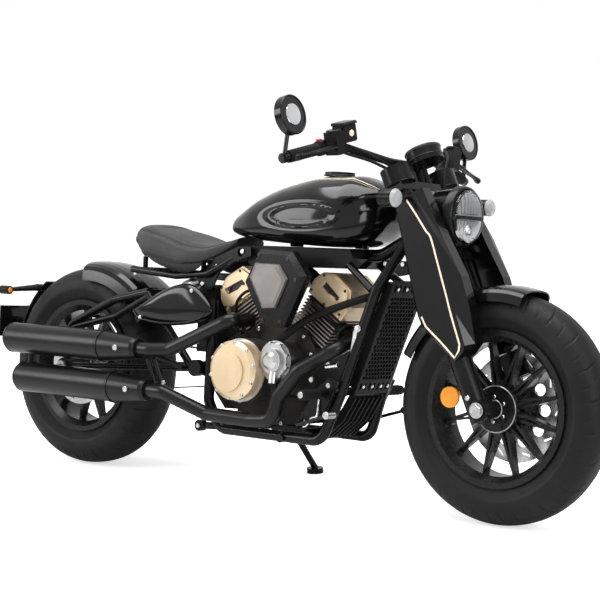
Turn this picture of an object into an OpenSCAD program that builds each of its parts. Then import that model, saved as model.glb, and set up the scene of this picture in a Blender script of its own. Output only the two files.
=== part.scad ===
// Bobber motorcycle with a V-twin engine, parked on its side stand.
// Millimetres. The machine is drawn upright, +X forward, +Y to its left, +Z up,
// with the rear axle over x = 0 and the ground at z = 0; parked() then leans it.

/* [Stance] */
// Distance between the two axles
wheelbase = 1560; // [1500:5:1620]
// Lean to the left on the side stand, in degrees
lean = 7; // [5:0.5:9]
// Rake of the fork from the vertical, in degrees
rake = 25.6; // [24:0.2:28]
// How far the front axle lies ahead of the fork legs' axis
axle_lead = 13.5; // [8:0.5:20]
// Distance from the steering axis to the fork legs' axis
yoke_offset = 40; // [34:1:46]

/* [Wheels] */
// Radius of the bead seats, where tyre and rim meet
seat_r = 203; // [198:1:206]
// Height of the front tyre's section over the bead seat
front_tyre_h = 111; // [104:1:118]
// Height of the rear tyre's section over the bead seat
rear_tyre_h = 115; // [108:1:122]
// Width of the front tyre
front_tyre_w = 134; // [120:1:140]
// Width of the rear tyre
rear_tyre_w = 170; // [150:1:176]
// Height of the rim flanges over the bead seat
flange_h = 10; // [8:0.5:14]
// Number of spoke pairs in a wheel
spoke_count = 12; // [8:1:14]
// Thickness of one spoke rib
spoke_t = 7; // [5:1:10]
// Radius of the axles
axle_r = 12; // [10:0.5:14]
// Radius of the bore through each axle
axle_bore_r = 7; // [5:0.5:9]
// Outer radius of the front brake disc
front_disc_r = 150; // [130:1:160]
// Outer radius of the rear brake disc
rear_disc_r = 125; // [110:1:140]
// Thickness of the brake discs
disc_t = 5; // [4:0.5:6]

/* [Fork] */
// Sideways distance from the middle to each fork leg
leg_y = 110; // [104:1:116]
// Radius of the lower fork legs
slider_r = 31; // [27:0.5:33]
// Radius of the fork tubes in the yokes
tube_r = 26; // [22:0.5:28]
// Radius of the fork caps over the top yoke
cap_r = 43; // [38:1:46]
// Height of the fork caps' top along the fork, from the axle
fork_top = 714; // [690:1:740]
// Sideways distance from the middle to the outside of the blade covers
blade_y = 152; // [146:1:158]
// Steering stop angle to each side, in degrees
steer_stop = 32; // [25:1:34]
// Radius of the steering stem
stem_r = 13; // [10:0.5:15]
// Radius of the headstock
headstock_r = 29; // [24:1:34]

/* [Frame] */
// Radius of the main frame tubes
frame_r = 16; // [13:0.5:19]
// Sideways distance from the middle to the cradle tubes
cradle_y = 118; // [110:1:124]
// Height of the lower cradle rails
rail_z = 178; // [172:1:188]
// Sideways distance from the middle to the swingarm tubes
swing_y = 131; // [127:1:136]
// Radius of the swingarm tubes
swing_r = 13; // [10:0.5:15]
// Place of the swingarm pivot ahead of the rear axle
pivot_x = 560; // [540:1:580]
// Height of the swingarm pivot
pivot_z = 352; // [335:1:370]

/* [Engine] */
// Place of the crankshaft ahead of the rear axle
crank_x = 838; // [825:1:850]
// Height of the crankshaft
crank_z = 325; // [315:1:335]
// Angle of each cylinder from the vertical, in degrees
vee = 33; // [28:1:36]
// Number of cooling fins on a cylinder
fin_count = 9; // [6:1:10]
// Thickness of a cooling fin
fin_t = 4; // [3:0.5:6]
// Half the width of the crankcase
case_y = 86; // [80:1:92]
// Radius of the clutch cover
clutch_r = 87; // [76:1:90]
// Sideways distance from the middle to the clutch cover's face
clutch_face_y = 198; // [188:1:204]
// Radius of the exhaust pipes
pipe_r = 21; // [17:0.5:23]
// Radius of the mufflers
muffler_r = 48; // [42:1:52]
// Sideways distance from the middle to the mufflers' axes
muffler_y = 215; // [210:1:222]

/* [Bodywork] */
// Half the width of the fuel tank
tank_half_w = 153; // [140:1:165]
// Half the width of the seat
seat_half_w = 150; // [135:1:160]
// Clearance of the fenders over the tyres
fender_gap = 15; // [12:1:24]
// Thickness of the fenders
fender_t = 4; // [3:0.5:6]
// Radius of the headlight's glass
lens_r = 74; // [68:1:80]
// Distance of each handlebar end from the middle
bar_half = 425; // [400:1:440]
// Radius of the handlebar
bar_r = 11; // [9:0.5:13]
// Radius of the mirror heads
mirror_r = 54; // [46:1:60]
// Radius of the gauge
gauge_r = 51; // [44:1:56]
// Half the width of the radiator
radiator_half_w = 80; // [72:1:82]
// Across flats of one cell in the radiator grille
cell = 11; // [10:0.5:14]
// Wall between two cells of the grille
cell_wall = 3; // [2.5:0.5:5]
// Width of the number plate
plate_w = 160; // [140:5:180]
// Height of the number plate
plate_h = 104; // [90:2:120]

/* [Hidden] */
$fn = 48;
run_gap = 0.05;
overlap = 3;
front_tyre_r = seat_r + front_tyre_h;
rear_tyre_r = seat_r + rear_tyre_h;
flange_r = seat_r + flange_h;
front_axle_z = front_tyre_r;
rear_axle_z = rear_tyre_r;
tread_base = 32;

// How far the front axle moves from where the tables below were measured.
ahead = [wheelbase - 1560, 0, front_axle_z - 314];

// How far a tyre's lowest point lies under its axle once the machine leans.
function tyre_reach(r, w) = max([for (t = [0:15:90])
    (flange_r + tread_base + (r - flange_r - tread_base) * pow(cos(t), 0.85)) * cos(lean)
    + w / 2 * pow(sin(t), 0.8) * sin(lean)]);

park_lift = max(tyre_reach(front_tyre_r, front_tyre_w) - front_axle_z * cos(lean),
                tyre_reach(rear_tyre_r, rear_tyre_w) - rear_axle_z * cos(lean));
shift_x = 742;
shift_y = 130.4;
black = [0.03, 0.03, 0.035];
satin = [0.12, 0.12, 0.13];
gold = [0.78, 0.64, 0.42];
metal = [0.45, 0.42, 0.39];
steel = [0.7, 0.7, 0.72];
rubber = [0.06, 0.06, 0.06];

// Leans the upright machine onto its stand and centres it over the origin.
module parked() {
    translate([-shift_x, -shift_y, park_lift])
    rotate([-lean, 0, 0])
    children();
}

// Frame of the fork: origin at the front axle, +Z up along the fork.
module on_fork() {
    translate([wheelbase, 0, front_axle_z])
    rotate([0, -rake, 0])
    children();
}

// Pieces that stand over the front axle and keep their place to it.
module over_front() {
    translate(ahead) children();
}

// Both sides of the machine.
module both_sides() {
    children();
    mirror([0, 1, 0]) children();
}

function unit(v) = v / norm(v);
function flip(p) = [p[0], -p[1], p[2]];
function flipped(points) = [for (p = points) flip(p)];

// A cylinder from point a to point b, with end radii ra and rb.
module rod(a, b, ra, rb = 0) {
    d = b - a;
    tilt = acos(d[2] / norm(d));
    turn = atan2(d[1], d[0]);
    translate(a) rotate([0, tilt, turn])
    cylinder(h = norm(d), r1 = ra, r2 = rb == 0 ? ra : rb);
}

// The bend of a tube at corner p, between the directions din and dout.
module elbow(p, din, dout, bend, r) {
    turn = acos(din * dout);
    back = bend * tan(turn / 2);
    n = unit(cross(din, dout));
    side = cross(n, din);
    c = p - back * din + bend * side;
    multmatrix([[-side[0], din[0], n[0], c[0]],
                [-side[1], din[1], n[1], c[1]],
                [-side[2], din[2], n[2], c[2]],
                [0, 0, 0, 1]])
    rotate_extrude(angle = turn) translate([bend, 0]) circle(r = r);
}

// A tube of radius r along points, with a bend radius at each inner corner.
// Elbows are a little thicker than the straights that end inside them.
module bent_tube(points, bend, r, swell = 0.25) {
    last = len(points) - 1;
    dirs = [for (i = [0:last - 1]) unit(points[i + 1] - points[i])];
    backs = [for (i = [0:last]) i == 0 || i == last ? 0 : bend * tan(acos(dirs[i - 1] * dirs[i]) / 2)];
    for (i = [0:last - 1]) {
        from = points[i] + (i == 0 ? 0 : backs[i] - overlap) * dirs[i];
        to = points[i + 1] - (i == last - 1 ? 0 : backs[i + 1] - overlap) * dirs[i];
        rod(from, to, r);
    }
    for (i = [1:1:last - 1])
        elbow(points[i], dirs[i - 1], dirs[i], bend, r + swell);
}

// A closed solid through rings of points, all rings with the same count.
// Its faces are turned the right way out, whichever way the rings run.
module loft(rings) {
    n = len(rings[0]);
    m = len(rings);
    points = [for (ring = rings) for (p = ring) p];
    sides = [for (j = [0:m - 2]) for (i = [0:n - 1]) for (half = [0, 1])
        let (a = j * n + i, b = j * n + (i + 1) % n)
        half == 0 ? [a, b, a + n] : [b, b + n, a + n]];
    first_fan = [for (i = [1:n - 2]) [0, i + 1, i]];
    last_fan = [for (i = [1:n - 2]) [(m - 1) * n, (m - 1) * n + i, (m - 1) * n + i + 1]];
    spans = [for (f = concat(first_fan, sides, last_fan)) points[f[0]] * cross(points[f[1]], points[f[2]])];
    outward = spans * [for (span = spans) 1] > 0;
    faces = concat([[for (i = [n - 1:-1:0]) i]], sides, [[for (i = [0:n - 1]) (m - 1) * n + i]]);
    polyhedron(points, outward ? [for (f = faces) [for (i = [len(f) - 1:-1:0]) f[i]]] : faces);
}

function superellipse(t, power) = sign(t) * pow(abs(t), 2 / power);

// One ring across the machine at x: half width, lowest, widest and highest z.
function body_ring(x, half_w, low, wide, high, count, top_power, low_power) =
    [for (i = [0:count - 1])
        let (t = 360 * i / count, c = cos(t), s = sin(t), power = s > 0 ? top_power : low_power)
        [x, -half_w * superellipse(c, power),
         wide + (s > 0 ? high - wide : wide - low) * superellipse(s, power)]];

// A plate with the outline drawn in X and Z, from y0 to y1.
module side_plate(y0, y1) {
    translate([0, y1, 0]) rotate([90, 0, 0]) linear_extrude(y1 - y0) children();
}

// A disc or ring across the machine, centred at x and z, from y0 to y1.
module across(x, z, y0, y1, r) {
    translate([x, y1, z]) rotate([90, 0, 0]) cylinder(h = y1 - y0, r = r);
}

// The outline moved in by d all round; its points run clockwise.
function inset(points, d) = let (n = len(points)) [for (i = [0:n - 1])
    let (before = unit(points[i] - points[(i + n - 1) % n]), after = unit(points[(i + 1) % n] - points[i]),
         n1 = [before[1], -before[0]], n2 = [after[1], -after[0]])
    points[i] + d * (n1 + n2) / (1 + n1 * n2)];

// A cover with bevelled edges: an outline in X and Z, with rows of y and inset.
module bevelled_cover(outline, rows) {
    loft([for (row = rows) [for (p = inset(outline, row[1])) [p[0], -row[0], p[1]]]]);
}

module wheel_turn() {
    rotate([90, 0, 0]) rotate_extrude($fn = 96) children();
}

// Profile of a tyre in radius and width, crowned tread over bulged sides.
module tyre_profile(r, w) {
    bead = w * 0.36;
    polygon(concat(
        [[seat_r, -bead], [flange_r + 0.5, -bead]],
        [for (t = [-90:15:90])
            [flange_r + tread_base + (r - flange_r - tread_base) * pow(cos(t), 0.85),
             w / 2 * superellipse(sin(t), 2.5)]],
        [[flange_r + 0.5, bead], [seat_r, bead]]));
}

module tyre(r, w) {
    wheel_turn() tyre_profile(r, w);
}

// A cast wheel: rim with flanges, spoke pairs that meet at the rim, and hub.
module cast_wheel(w, hub_r, hub_half) {
    rim = w * 0.36;
    well = seat_r - 16;
    difference() {
        union() {
            wheel_turn() polygon([
                [seat_r, -rim], [flange_r, -rim], [flange_r, -rim - 8], [seat_r - 6, -rim - 8],
                [well - 6, -rim + 12], [well - 6, rim - 12],
                [seat_r - 6, rim + 8], [flange_r, rim + 8], [flange_r, rim], [seat_r, rim]]);
            for (i = [0:spoke_count - 1]) for (side = [-1, 1])
                rotate([0, 360 / spoke_count * (i + 0.5), 0])
                translate([0, 0, side * 15])
                rotate([0, side * 4.6, 0])
                translate([0, 0, -spoke_t / 2])
                linear_extrude(spoke_t) polygon([
                    [hub_r - 12, -hub_half * 0.5], [well - 3, -14], [well - 3, 10], [hub_r - 12, hub_half * 0.1]]);
            across(0, 0, -hub_half, hub_half, hub_r);
            across(0, 0, -hub_half + 6, -hub_half + 22, hub_r + 20);
        }
        across(0, 0, -hub_half - 1, hub_half + 1, axle_r + run_gap);
    }
}

module slotted_disc(r, y) {
    difference() {
        across(0, 0, y - disc_t / 2, y + disc_t / 2, r);
        across(0, 0, y - disc_t, y + disc_t, 30);
        for (i = [0:9]) rotate([0, 36 * i, 0]) {
            translate([r * 0.62, y, 0]) rotate([90, 0, 0]) cylinder(h = 2 * disc_t, r = r * 0.11, center = true);
            translate([r - 20, y, 0]) rotate([90, 30, 0]) cube([5, 26, 2 * disc_t], center = true);
        }
    }
}

// Wheels

module front_tyre() {
    parked() color(rubber) translate([wheelbase, 0, front_axle_z]) tyre(front_tyre_r, front_tyre_w);
}

module rear_tyre() {
    parked() color(rubber) translate([0, 0, rear_axle_z]) tyre(rear_tyre_r, rear_tyre_w);
}

front_hub_r = 44;
front_hub_half = 54;
rear_hub_r = 56;
rear_hub_half = 66;
front_disc_y = front_hub_half + disc_t / 2;
rear_disc_y = -rear_hub_half - disc_t / 2;

module front_wheel() {
    parked() color(black) translate([wheelbase, 0, front_axle_z])
    cast_wheel(front_tyre_w, front_hub_r, front_hub_half);
}

module rear_wheel() {
    parked() color(black) translate([0, 0, rear_axle_z])
    cast_wheel(rear_tyre_w, rear_hub_r, rear_hub_half);
}

module front_disc() {
    parked() color(steel) translate([wheelbase, 0, front_axle_z]) slotted_disc(front_disc_r, front_disc_y);
}

module rear_disc() {
    parked() color(steel) translate([0, 0, rear_axle_z]) slotted_disc(rear_disc_r, rear_disc_y);
}

belt_w = 18;
belt_y = 98;
rear_pulley_r = 82;
front_pulley_r = 40;
front_pulley_x = 642;
front_pulley_z = 348;

module rear_pulley() {
    parked() color(satin) translate([0, 0, rear_axle_z])
    difference() {
        union() {
            across(0, 0, rear_hub_half, belt_y - belt_w / 2, 60);
            across(0, 0, belt_y - belt_w / 2, belt_y + belt_w / 2, rear_pulley_r - 0.3);
        }
        across(0, 0, rear_hub_half - 1, belt_y + belt_w, 24);
        for (i = [0:5]) rotate([0, 60 * i, 0]) across(44, 0, belt_y - belt_w / 2 - 8, belt_y + belt_w, 12);
    }
}

// Points of a belt round two pulleys, at a distance out from their rims.
function belt_points(out) =
    let (dx = front_pulley_x, dz = front_pulley_z - rear_axle_z, d = norm([dx, dz]),
         slope = atan2(dz, dx), wrap = acos((rear_pulley_r - front_pulley_r) / d),
         rr = rear_pulley_r + out, fr = front_pulley_r + out)
    concat([for (i = [0:20]) let (t = slope + wrap + (360 - 2 * wrap) * i / 20) [rr * cos(t), rear_axle_z + rr * sin(t)]],
           [for (i = [0:12]) let (t = slope - wrap + 2 * wrap * i / 12)
               [dx + fr * cos(t), front_pulley_z + fr * sin(t)]]);

module drive_belt() {
    parked() color(rubber) side_plate(belt_y - belt_w / 2 + 1, belt_y + belt_w / 2 - 1)
    difference() {
        polygon(belt_points(5.5));
        polygon(belt_points(1));
    }
}

// Frame

// A point of the steering axis at a height along the fork.
function on_stem(along) =
    [wheelbase - (axle_lead + yoke_offset) * cos(rake) - along * sin(rake), 0,
     front_axle_z - (axle_lead + yoke_offset) * sin(rake) + along * cos(rake)];

head_low = 462;
head_high = 636;
backbone_z = 711.5;
backbone_end = 692;
brace_r = 11;
upright_x = 612;
upright_y = 128;

module frame() {
    parked() color(satin)
    difference() {
        union() {
            rod(on_stem(head_low), on_stem(head_high), headstock_r);
            bent_tube([on_stem(head_low + 90), [1130, 0, backbone_z] + ahead, [backbone_end, 0, backbone_z]],
                      80, frame_r + 2);
            for (side = [-1, 1]) brace(side);
            rod([backbone_end, -96, backbone_z - 6], [backbone_end, 96, backbone_z - 6], 13);
            over_front() side_plate(-5, 5) polygon([[1128, 700], [1222, 700], [1228, 662], [1196, 656], [1140, 690]]);
        }
        rod(on_stem(head_low - 20), on_stem(head_high + 20), stem_r + run_gap);
        for (side = [-1, 1]) {
            cradle_tube(side, 0.4);
        }
    }
}

// Tube from the backbone out to a down tube.
module brace(side, spare = 0) {
    bent_tube([[900, 0, backbone_z], [1040, side * 70, 705] + ahead, [1171, side * 96, 614] + ahead],
              90, brace_r + spare);
}

// One side's tube from the headstock down, back along the ground and up to the seat rails.
module cradle_tube(side, spare = 0) {
    bent_tube([down_tube_high(side), down_tube_mid(side), down_tube_low(side),
               [1034, side * cradle_y, rail_z] + [ahead[0], 0, 0],
               [upright_x + 40, side * cradle_y, rail_z],
               [upright_x, side * upright_y, rail_z + 80], [upright_x, side * upright_y, 560]],
              45, frame_r + spare);
}

// Corners of the down tubes, from the headstock to the lower rails.
function down_tube_high(side) = [1243, side * 46, 748] + ahead;
function down_tube_mid(side) = [1188, side * 98, 615] + ahead;
function down_tube_low(side) = [1083, side * 103, 313] + ahead;

module cradle() {
    parked() color(satin) {
        for (side = [-1, 1])
            difference() {
                union() {
                    cradle_tube(side);
                    rod([900, side * cradle_y, rail_z], [900, side * (cradle_y + 24), rail_z - 4], 13);
                    rod([590, side * (cradle_y + 4), rail_z + 4], [590, side * (cradle_y + 26), rail_z + 4], 17);
                    rod([590, side * (cradle_y + 10), rail_z + 4], [upright_x + 36, side * cradle_y, rail_z + 6], 11);
                }
                rod(on_stem(head_low - 20), on_stem(head_high + 20), headstock_r + 0.4);
            }
        rod([660, -cradle_y, rail_z], [660, cradle_y, rail_z], 12);
        rod([966, -cradle_y, rail_z + 24], [966, cradle_y, rail_z + 24], 10);
        difference() {
            union() {
                rod([pivot_x, -cradle_y - 1, pivot_z], [pivot_x, cradle_y + 1, pivot_z], 20);
                for (side = [-1, 1])
                    side_plate(side * 113.5 - 5.5, side * 113.5 + 5.5)
                    polygon([[pivot_x, pivot_z - 18], [upright_x + 6, pivot_z - 30],
                             [upright_x + 6, pivot_z + 30], [pivot_x, pivot_z + 18]]);
            }
            rod([pivot_x, -swing_y, pivot_z], [pivot_x, swing_y, pivot_z], 9);
        }
        rod(stand_lug, stand_lug + 44 * stand_axis, stand_pin_r);
    }
}

module seat_rails() {
    parked() color(satin)
    difference() {
        union() {
            for (side = [-1, 1])
                bent_tube([[backbone_end, side * 88, backbone_z - 6], [570, side * 112, 636],
                           [440, side * 108, 626], [250, side * 104, 640]], 50, brace_r);
            for (side = [-1, 1]) side_plate(side * 101 - 4, side * 101 + 4) polygon([[518, 622], [524, 640],
                [600, 690], [680, 722], [730, 722], [732, 696], [664, 676], [606, 640], [582, 588], [548, 588]]);
            rod([400, -107, 630], [400, 107, 630], 9);
            rod([262, -104, 639], [262, 104, 639], 9);
            for (x = [262, 400]) for (side = [-1, 1]) translate([x, side * 60, 634]) cylinder(h = 47.7, r = 8);
        }
        rod([backbone_end, -120, backbone_z - 6], [backbone_end, 120, backbone_z - 6], 13.3);
    }
}

module swingarm_side(side) {
    difference() {
        union() {
            rod([0, side * swing_y, rear_axle_z], [pivot_x, side * swing_y, pivot_z], swing_r - 1.4);
            bent_tube([[0, side * swing_y, rear_axle_z], [12, side * swing_y, 452],
                       [200, side * swing_y, 540], [352, side * swing_y, 572]], 40, swing_r);
            bent_tube([[12, side * swing_y, 440], [215, side * swing_y, 490], [352, side * swing_y, 560]],
                      50, swing_r - 2);
            rod([345, side * swing_y, 568], [pivot_x - 20, side * swing_y, pivot_z], swing_r - 1);
            across(0, rear_axle_z, side * swing_y - 15, side * swing_y + 15, 27);
            across(pivot_x, pivot_z, side * swing_y - 11.7, side * swing_y + 11.7, 25);
        }
        across(0, rear_axle_z, side * swing_y - 30, side * swing_y + 30, axle_r);
        across(pivot_x, pivot_z, side * swing_y - 30, side * swing_y + 30, 9);
    }
}

module swingarm_left() {
    parked() color(black) swingarm_side(1);
}

module swingarm_right() {
    parked() color(black) swingarm_side(-1);
}

module swingarm_pivot() {
    parked() color(black) {
        rod([352, -swing_y + swing_r + 0.3, 570], [352, swing_y - swing_r - 0.3, 570], 11);
        rod([pivot_x, -swing_y - 12, pivot_z], [pivot_x, swing_y + 12, pivot_z], 8.8);
    }
}

module rear_shock() {
    parked() color(steel) {
        difference() {
            rod([352, 0, 572], [400, 0, 590.5], 10);
            rod([352, -30, 572], [352, 30, 572], 12.3);
        }
        rod([388, 0, 586], [474, 0, 619], 25);
        rod([470, 0, 617.5], [505, 0, 631], 10);
        rod([505, -98.6, 631], [505, 98.6, 631], 9);
    }
}

module rear_axle() {
    parked() color(steel)
    difference() {
        union() {
            across(0, rear_axle_z, -swing_y - 28, swing_y + 34, axle_r);
            across(0, rear_axle_z, -swing_y - 28, -swing_y - 15.3, 17);
            across(0, rear_axle_z, swing_y + 21.6, swing_y + 34, 17);
        }
        across(0, rear_axle_z, -swing_y - 40, swing_y + 40, axle_bore_r);
    }
}

// Bodywork

// Columns of the tank's sections: x, share of the half width, lowest z, highest z.
tank_sections = [[600, 0.16, 770, 792], [618, 0.4, 764, 812], [660, 0.6, 752, 838], [740, 0.82, 742, 880],
                 [850, 0.96, 736, 916], [970, 1, 732, 937], [1060, 0.95, 735, 938], [1115, 0.78, 750, 922],
                 [1152, 0.5, 778, 902], [1172, 0.26, 806, 886]];

module fuel_tank() {
    parked() color(black) {
        loft([for (s = tank_sections)
            body_ring(s[0], s[1] * tank_half_w, s[2], s[2] + 0.36 * (s[3] - s[2]), s[3], 28, 2.3, 3.6)]);
        translate([968, 0, 920]) cylinder(h = 20, r = 42);
        for (x = [820, 1060]) translate([x, 0, backbone_z + frame_r + 2.3]) cylinder(h = 34, r = 20);
    }
}

module fuel_cap() {
    parked() color(satin) translate([968, 0, 940.3]) cylinder(h = 9, r = 44);
}

// Columns of the seat's sections: x, share of the half width, lowest, widest and highest z.
seat_sections = [[182, 0.1, 738, 746, 754], [205, 0.3, 716, 738, 772], [240, 0.47, 694, 726, 783],
                 [290, 0.72, 668, 712, 784], [350, 0.9, 646, 700, 776], [420, 0.98, 630, 690, 760],
                 [490, 1, 620, 680, 738], [550, 0.9, 634, 682, 730], [600, 0.6, 680, 706, 740],
                 [640, 0.42, 722, 736, 754]];

module seat() {
    parked() color([0.16, 0.16, 0.17])
    difference() {
        loft([for (s = seat_sections) body_ring(s[0], s[1] * seat_half_w, s[2], s[3], s[4], 24, 2.4, 3)]);
        translate([150, -126, 560]) cube([480, 252, 122]);
    }
}

// Columns of the side cover's sections: y, grow, shift.
side_cover_outline = [[300, 510], [340, 484], [460, 474], [590, 492], [632, 524], [596, 572], [536, 604], [440, 584]];
side_cover_middle = [460, 540];

module side_covers() {
    parked() color(black) both_sides()
    loft([for (s = [[144.4, 0.96], [152, 1], [166, 0.92], [172, 0.7]])
        [for (p = side_cover_outline)
            [side_cover_middle[0] + (p[0] - side_cover_middle[0]) * s[1], -s[0],
             side_cover_middle[1] + (p[1] - side_cover_middle[1]) * s[1]]]]);
}

// Intake box in two halves under the tank, one on each side of the backbone.
module airbox() {
    parked() color(satin)
    difference() {
        for (side = [-1, 1]) side_plate(side * 54 - 34, side * 54 + 34)
            polygon([[700, 690], [716, 668], [1060, 672], [1096, 700], [1080, 727], [720, 727]]);
        rod([backbone_end, 0, backbone_z], [1160, 0, backbone_z], frame_r + 2.3);
        for (side = [-1, 1]) brace(side, 0.6);
    }
}

// Battery box between the uprights, held by two lugs on each side.
module battery_box() {
    parked() color(satin)
    difference() {
        union() {
            side_plate(-93, 93) polygon([[522, 400], [592, 400], [592, 596], [536, 604], [522, 590]]);
            for (side = [-1, 1]) for (z = [430, 560]) rod([580, side * 90, z], [606, side * 122, z], 7);
        }
        for (side = [-1, 1]) rod([upright_x, side * upright_y, 380], [upright_x, side * upright_y, 600], frame_r + 0.4);
    }
}

// Profile of a fender over a tyre: crowned top with sides, in radius and width.
module fender_profile(tyre_r, half_w, depth) {
    r = tyre_r + fender_gap;
    function arch(out) = [for (t = [-90:15:90])
        [r - depth + (depth + out) * pow(cos(t), 0.5), (half_w - fender_t + out) * superellipse(sin(t), 2.6)]];
    difference() {
        polygon(concat([[r - depth - 1, -half_w]], arch(fender_t), [[r - depth - 1, half_w]]));
        polygon(concat([[r - depth - 2, -half_w + fender_t]], arch(0), [[r - depth - 2, half_w - fender_t]]));
    }
}

// Turned from start to end, in degrees from +X up over the wheel.
module fender(x, z, tyre_r, half_w, depth, start, end) {
    translate([x, 0, z]) rotate([90, 0, 0]) rotate([0, 0, start])
    rotate_extrude(angle = end - start, $fn = 96) fender_profile(tyre_r, half_w, depth);
}

module rear_fender() {
    parked() color(black) {
        fender(45, rear_axle_z - 3, rear_tyre_r + 8, 103, 60, 34, 94);
        for (side = [-1, 1])
            rod([240, side * 101, 548.4], [240, side * (swing_y - swing_r - 0.3), 548.4], 9);
    }
}

module plate_arm() {
    parked() color(black) {
        difference() {
            union() {
                across(0, rear_axle_z, swing_y + 15.3, swing_y + 21.3, 34);
                bent_tube([[-18, swing_y + 26, rear_axle_z + 25], [-130, swing_y + 26, 470],
                           [-297, 80, 489.5], [-297, -40, 489.5]], 50, 9);
            }
            across(0, rear_axle_z, 100, 180, axle_r + 0.3);
            across(0, rear_axle_z, swing_y + 21.3, 180, 17.3);
        }
        translate([0, 0, rear_axle_z]) rotate([90, 0, 0]) rotate([0, 0, 128])
        rotate_extrude(angle = 36) translate([rear_tyre_r + 14, -44]) square([5, 88]);
        rod([-243, -46, 561], [-243, 46, 561], 12);
        rod([-309.5, 0, 445], [-384.7, 0, 445], 12);
    }
}

module number_plate() {
    parked() color([0.1, 0.1, 0.1])
    difference() {
        translate([-390, -plate_w / 2, 390]) cube([5, plate_w, plate_h]);
        for (side = [-1, 1]) rod([-400, side * 60, 480], [-370, side * 60, 480], 3.5);
    }
}

module rear_lamps() {
    parked() color([0.7, 0.25, 0.1]) {
        for (side = [-1, 1]) {
            rod([-243, side * 46.3, 561], [-243, side * 52, 561], 12);
            rod([-243, side * 51, 561], [-276, side * 158, 550], 11, 6);
            rod([-296, side * 158, 550], [-256, side * 158, 550], 14);
        }
    }
}

// Engine

// Frame of a cylinder: origin on the crankshaft, +Z up along the cylinder.
module on_cylinder(side) {
    translate([crank_x, 0, crank_z]) rotate([0, side * vee, 0]) children();
}

module case_outline() {
    polygon([[690, 222], [690, 458], [740, 486], [838, 520], [936, 486], [972, 440], [978, 330], [930, 214], [760, 200]]);
}

module crankcase() {
    parked() color(metal) {
        side_plate(-case_y, case_y) case_outline();
        side_plate(-case_y, 70) polygon([[582, 300], [600, 400], [650, 452], [691, 470], [691, 238], [640, 236]]);
    }
}

cylinder_low = 172;
head_start = 280;
head_end = 372;

module barrel(side) {
    on_cylinder(side) {
        translate([-54, -58, cylinder_low]) cube([108, 116, head_start - cylinder_low]);
        for (i = [0:fin_count - 1])
            translate([-68, -74, cylinder_low + 6 + i * 11.2]) cube([136, 148, fin_t]);
    }
}

module front_cylinder() {
    parked() color(metal)
    difference() {
        barrel(1);
        side_plate(-case_y, case_y) case_outline();
    }
}

module rear_cylinder() {
    parked() color(metal)
    difference() {
        barrel(-1);
        side_plate(-case_y, case_y) case_outline();
        side_plate(-case_y, case_y) polygon([[582, 300], [600, 400], [650, 452], [691, 470], [691, 238]]);
    }
}

module rocker_outline() {
    polygon([[-72, head_start], [72, head_start], [76, head_start + 50],
             [52, head_end], [-20, head_end + 6], [-60, head_end - 14], [-76, head_start + 44]]);
}

module rocker_outline() {
    polygon([[-72, head_start], [72, head_start], [76, head_start + 50],
             [52, head_end], [-20, head_end + 6], [-60, head_end - 14], [-76, head_start + 44]]);
}

module rocker_covers() {
    parked() color(gold)
    for (side = [-1, 1]) on_cylinder(side)
    difference() {
        union() {
            side_plate(-76, 76) rocker_outline();
            side_plate(-84, 84) translate([0, head_start + 46]) scale(0.88) translate([0, -head_start - 46])
            rocker_outline();
        }
        for (face = [-1, 1]) side_plate(face * 84 - 7, face * 84 + 7)
            polygon([[-40, head_start + 66], [34, head_start + 56], [40, head_start + 30], [14, head_start + 36],
                     [-38, head_start + 44]]);
    }
}

air_outline = [[831, 716], [778, 621], [855, 494], [929, 495], [1003, 646], [948, 712]];
air_middle = [890, 612];

module air_ring_loft(outline, sections) {
    loft([for (s = sections) [for (p = outline)
        [air_middle[0] + (p[0] - air_middle[0]) * s[1], -s[0], air_middle[1] + (p[1] - air_middle[1]) * s[1]]]]);
}

module air_cleaner() {
    parked() color(satin) {
        air_ring_loft(air_outline, [[138, 0.84], [150, 0.98], [158, 1], [180, 1], [196, 0.88]]);
        difference() {
            union() {
                across(838, 637, -139, 60, 28);
                across(866, 608, -139, -100, 54);
                for (side = [-1, 1]) on_cylinder(side) rod([-side * 160, 0, 292], [-side * 70, 0, 292], 20);
            }
            for (side = [-1, 1]) on_cylinder(side) translate([-side * 0.3, 0, -0.3]) side_plate(-84, 84) rocker_outline();
            for (side = [-1, 1]) on_cylinder(side) translate([-68.3, -74, 170]) cube([136.6, 148, 110]);
        }
    }
}

module air_cleaner_badge() {
    parked() color(metal)
        air_ring_loft([[829, 677], [810, 634], [862, 545], [910, 549], [950, 634], [916, 675]],
                      [[196.3, 1], [204, 0.96], [210, 0.8]]);
}

clutch_x = 748;
clutch_z = 360;

module clutch_cover() {
    parked() color(gold) {
        across(clutch_x, clutch_z, -clutch_face_y + 14, -150, clutch_r);
        translate([clutch_x, -clutch_face_y + 14, clutch_z]) rotate([90, 0, 0])
        cylinder(h = 9, r1 = clutch_r, r2 = clutch_r - 12);
        across(clutch_x - 12, clutch_z - 4, -clutch_face_y, -clutch_face_y + 10, clutch_r - 28);
    }
}

module water_pump() {
    parked() color(metal) {
        difference() {
            union() {
                across(870, 396, -140, -case_y, 58);
                across(870, 396, -152, -139, 50);
                across(870, 396, -164, -150, 36);
                translate([870, -164, 396]) rotate([90, 0, 0]) cylinder(h = 10, r1 = 28, r2 = 16);
                rod([874, -146, 388], [880, -160, 330], 13);
            }
            across(clutch_x, clutch_z, -clutch_face_y - 5, -149, clutch_r + 0.4);
        }
        across(clutch_x, clutch_z, -149.6, -case_y, clutch_r + 6);
    }
}

module left_covers() {
    parked() color(satin) {
        across(790, clutch_z, case_y, 140, 92);
        across(790, clutch_z, 139, 150, 70);
        across(front_pulley_x, front_pulley_z, belt_y - belt_w / 2, belt_y + belt_w / 2, front_pulley_r);
        across(front_pulley_x, front_pulley_z, 70, belt_y, 20);
    }
}

// Exhausts

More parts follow.
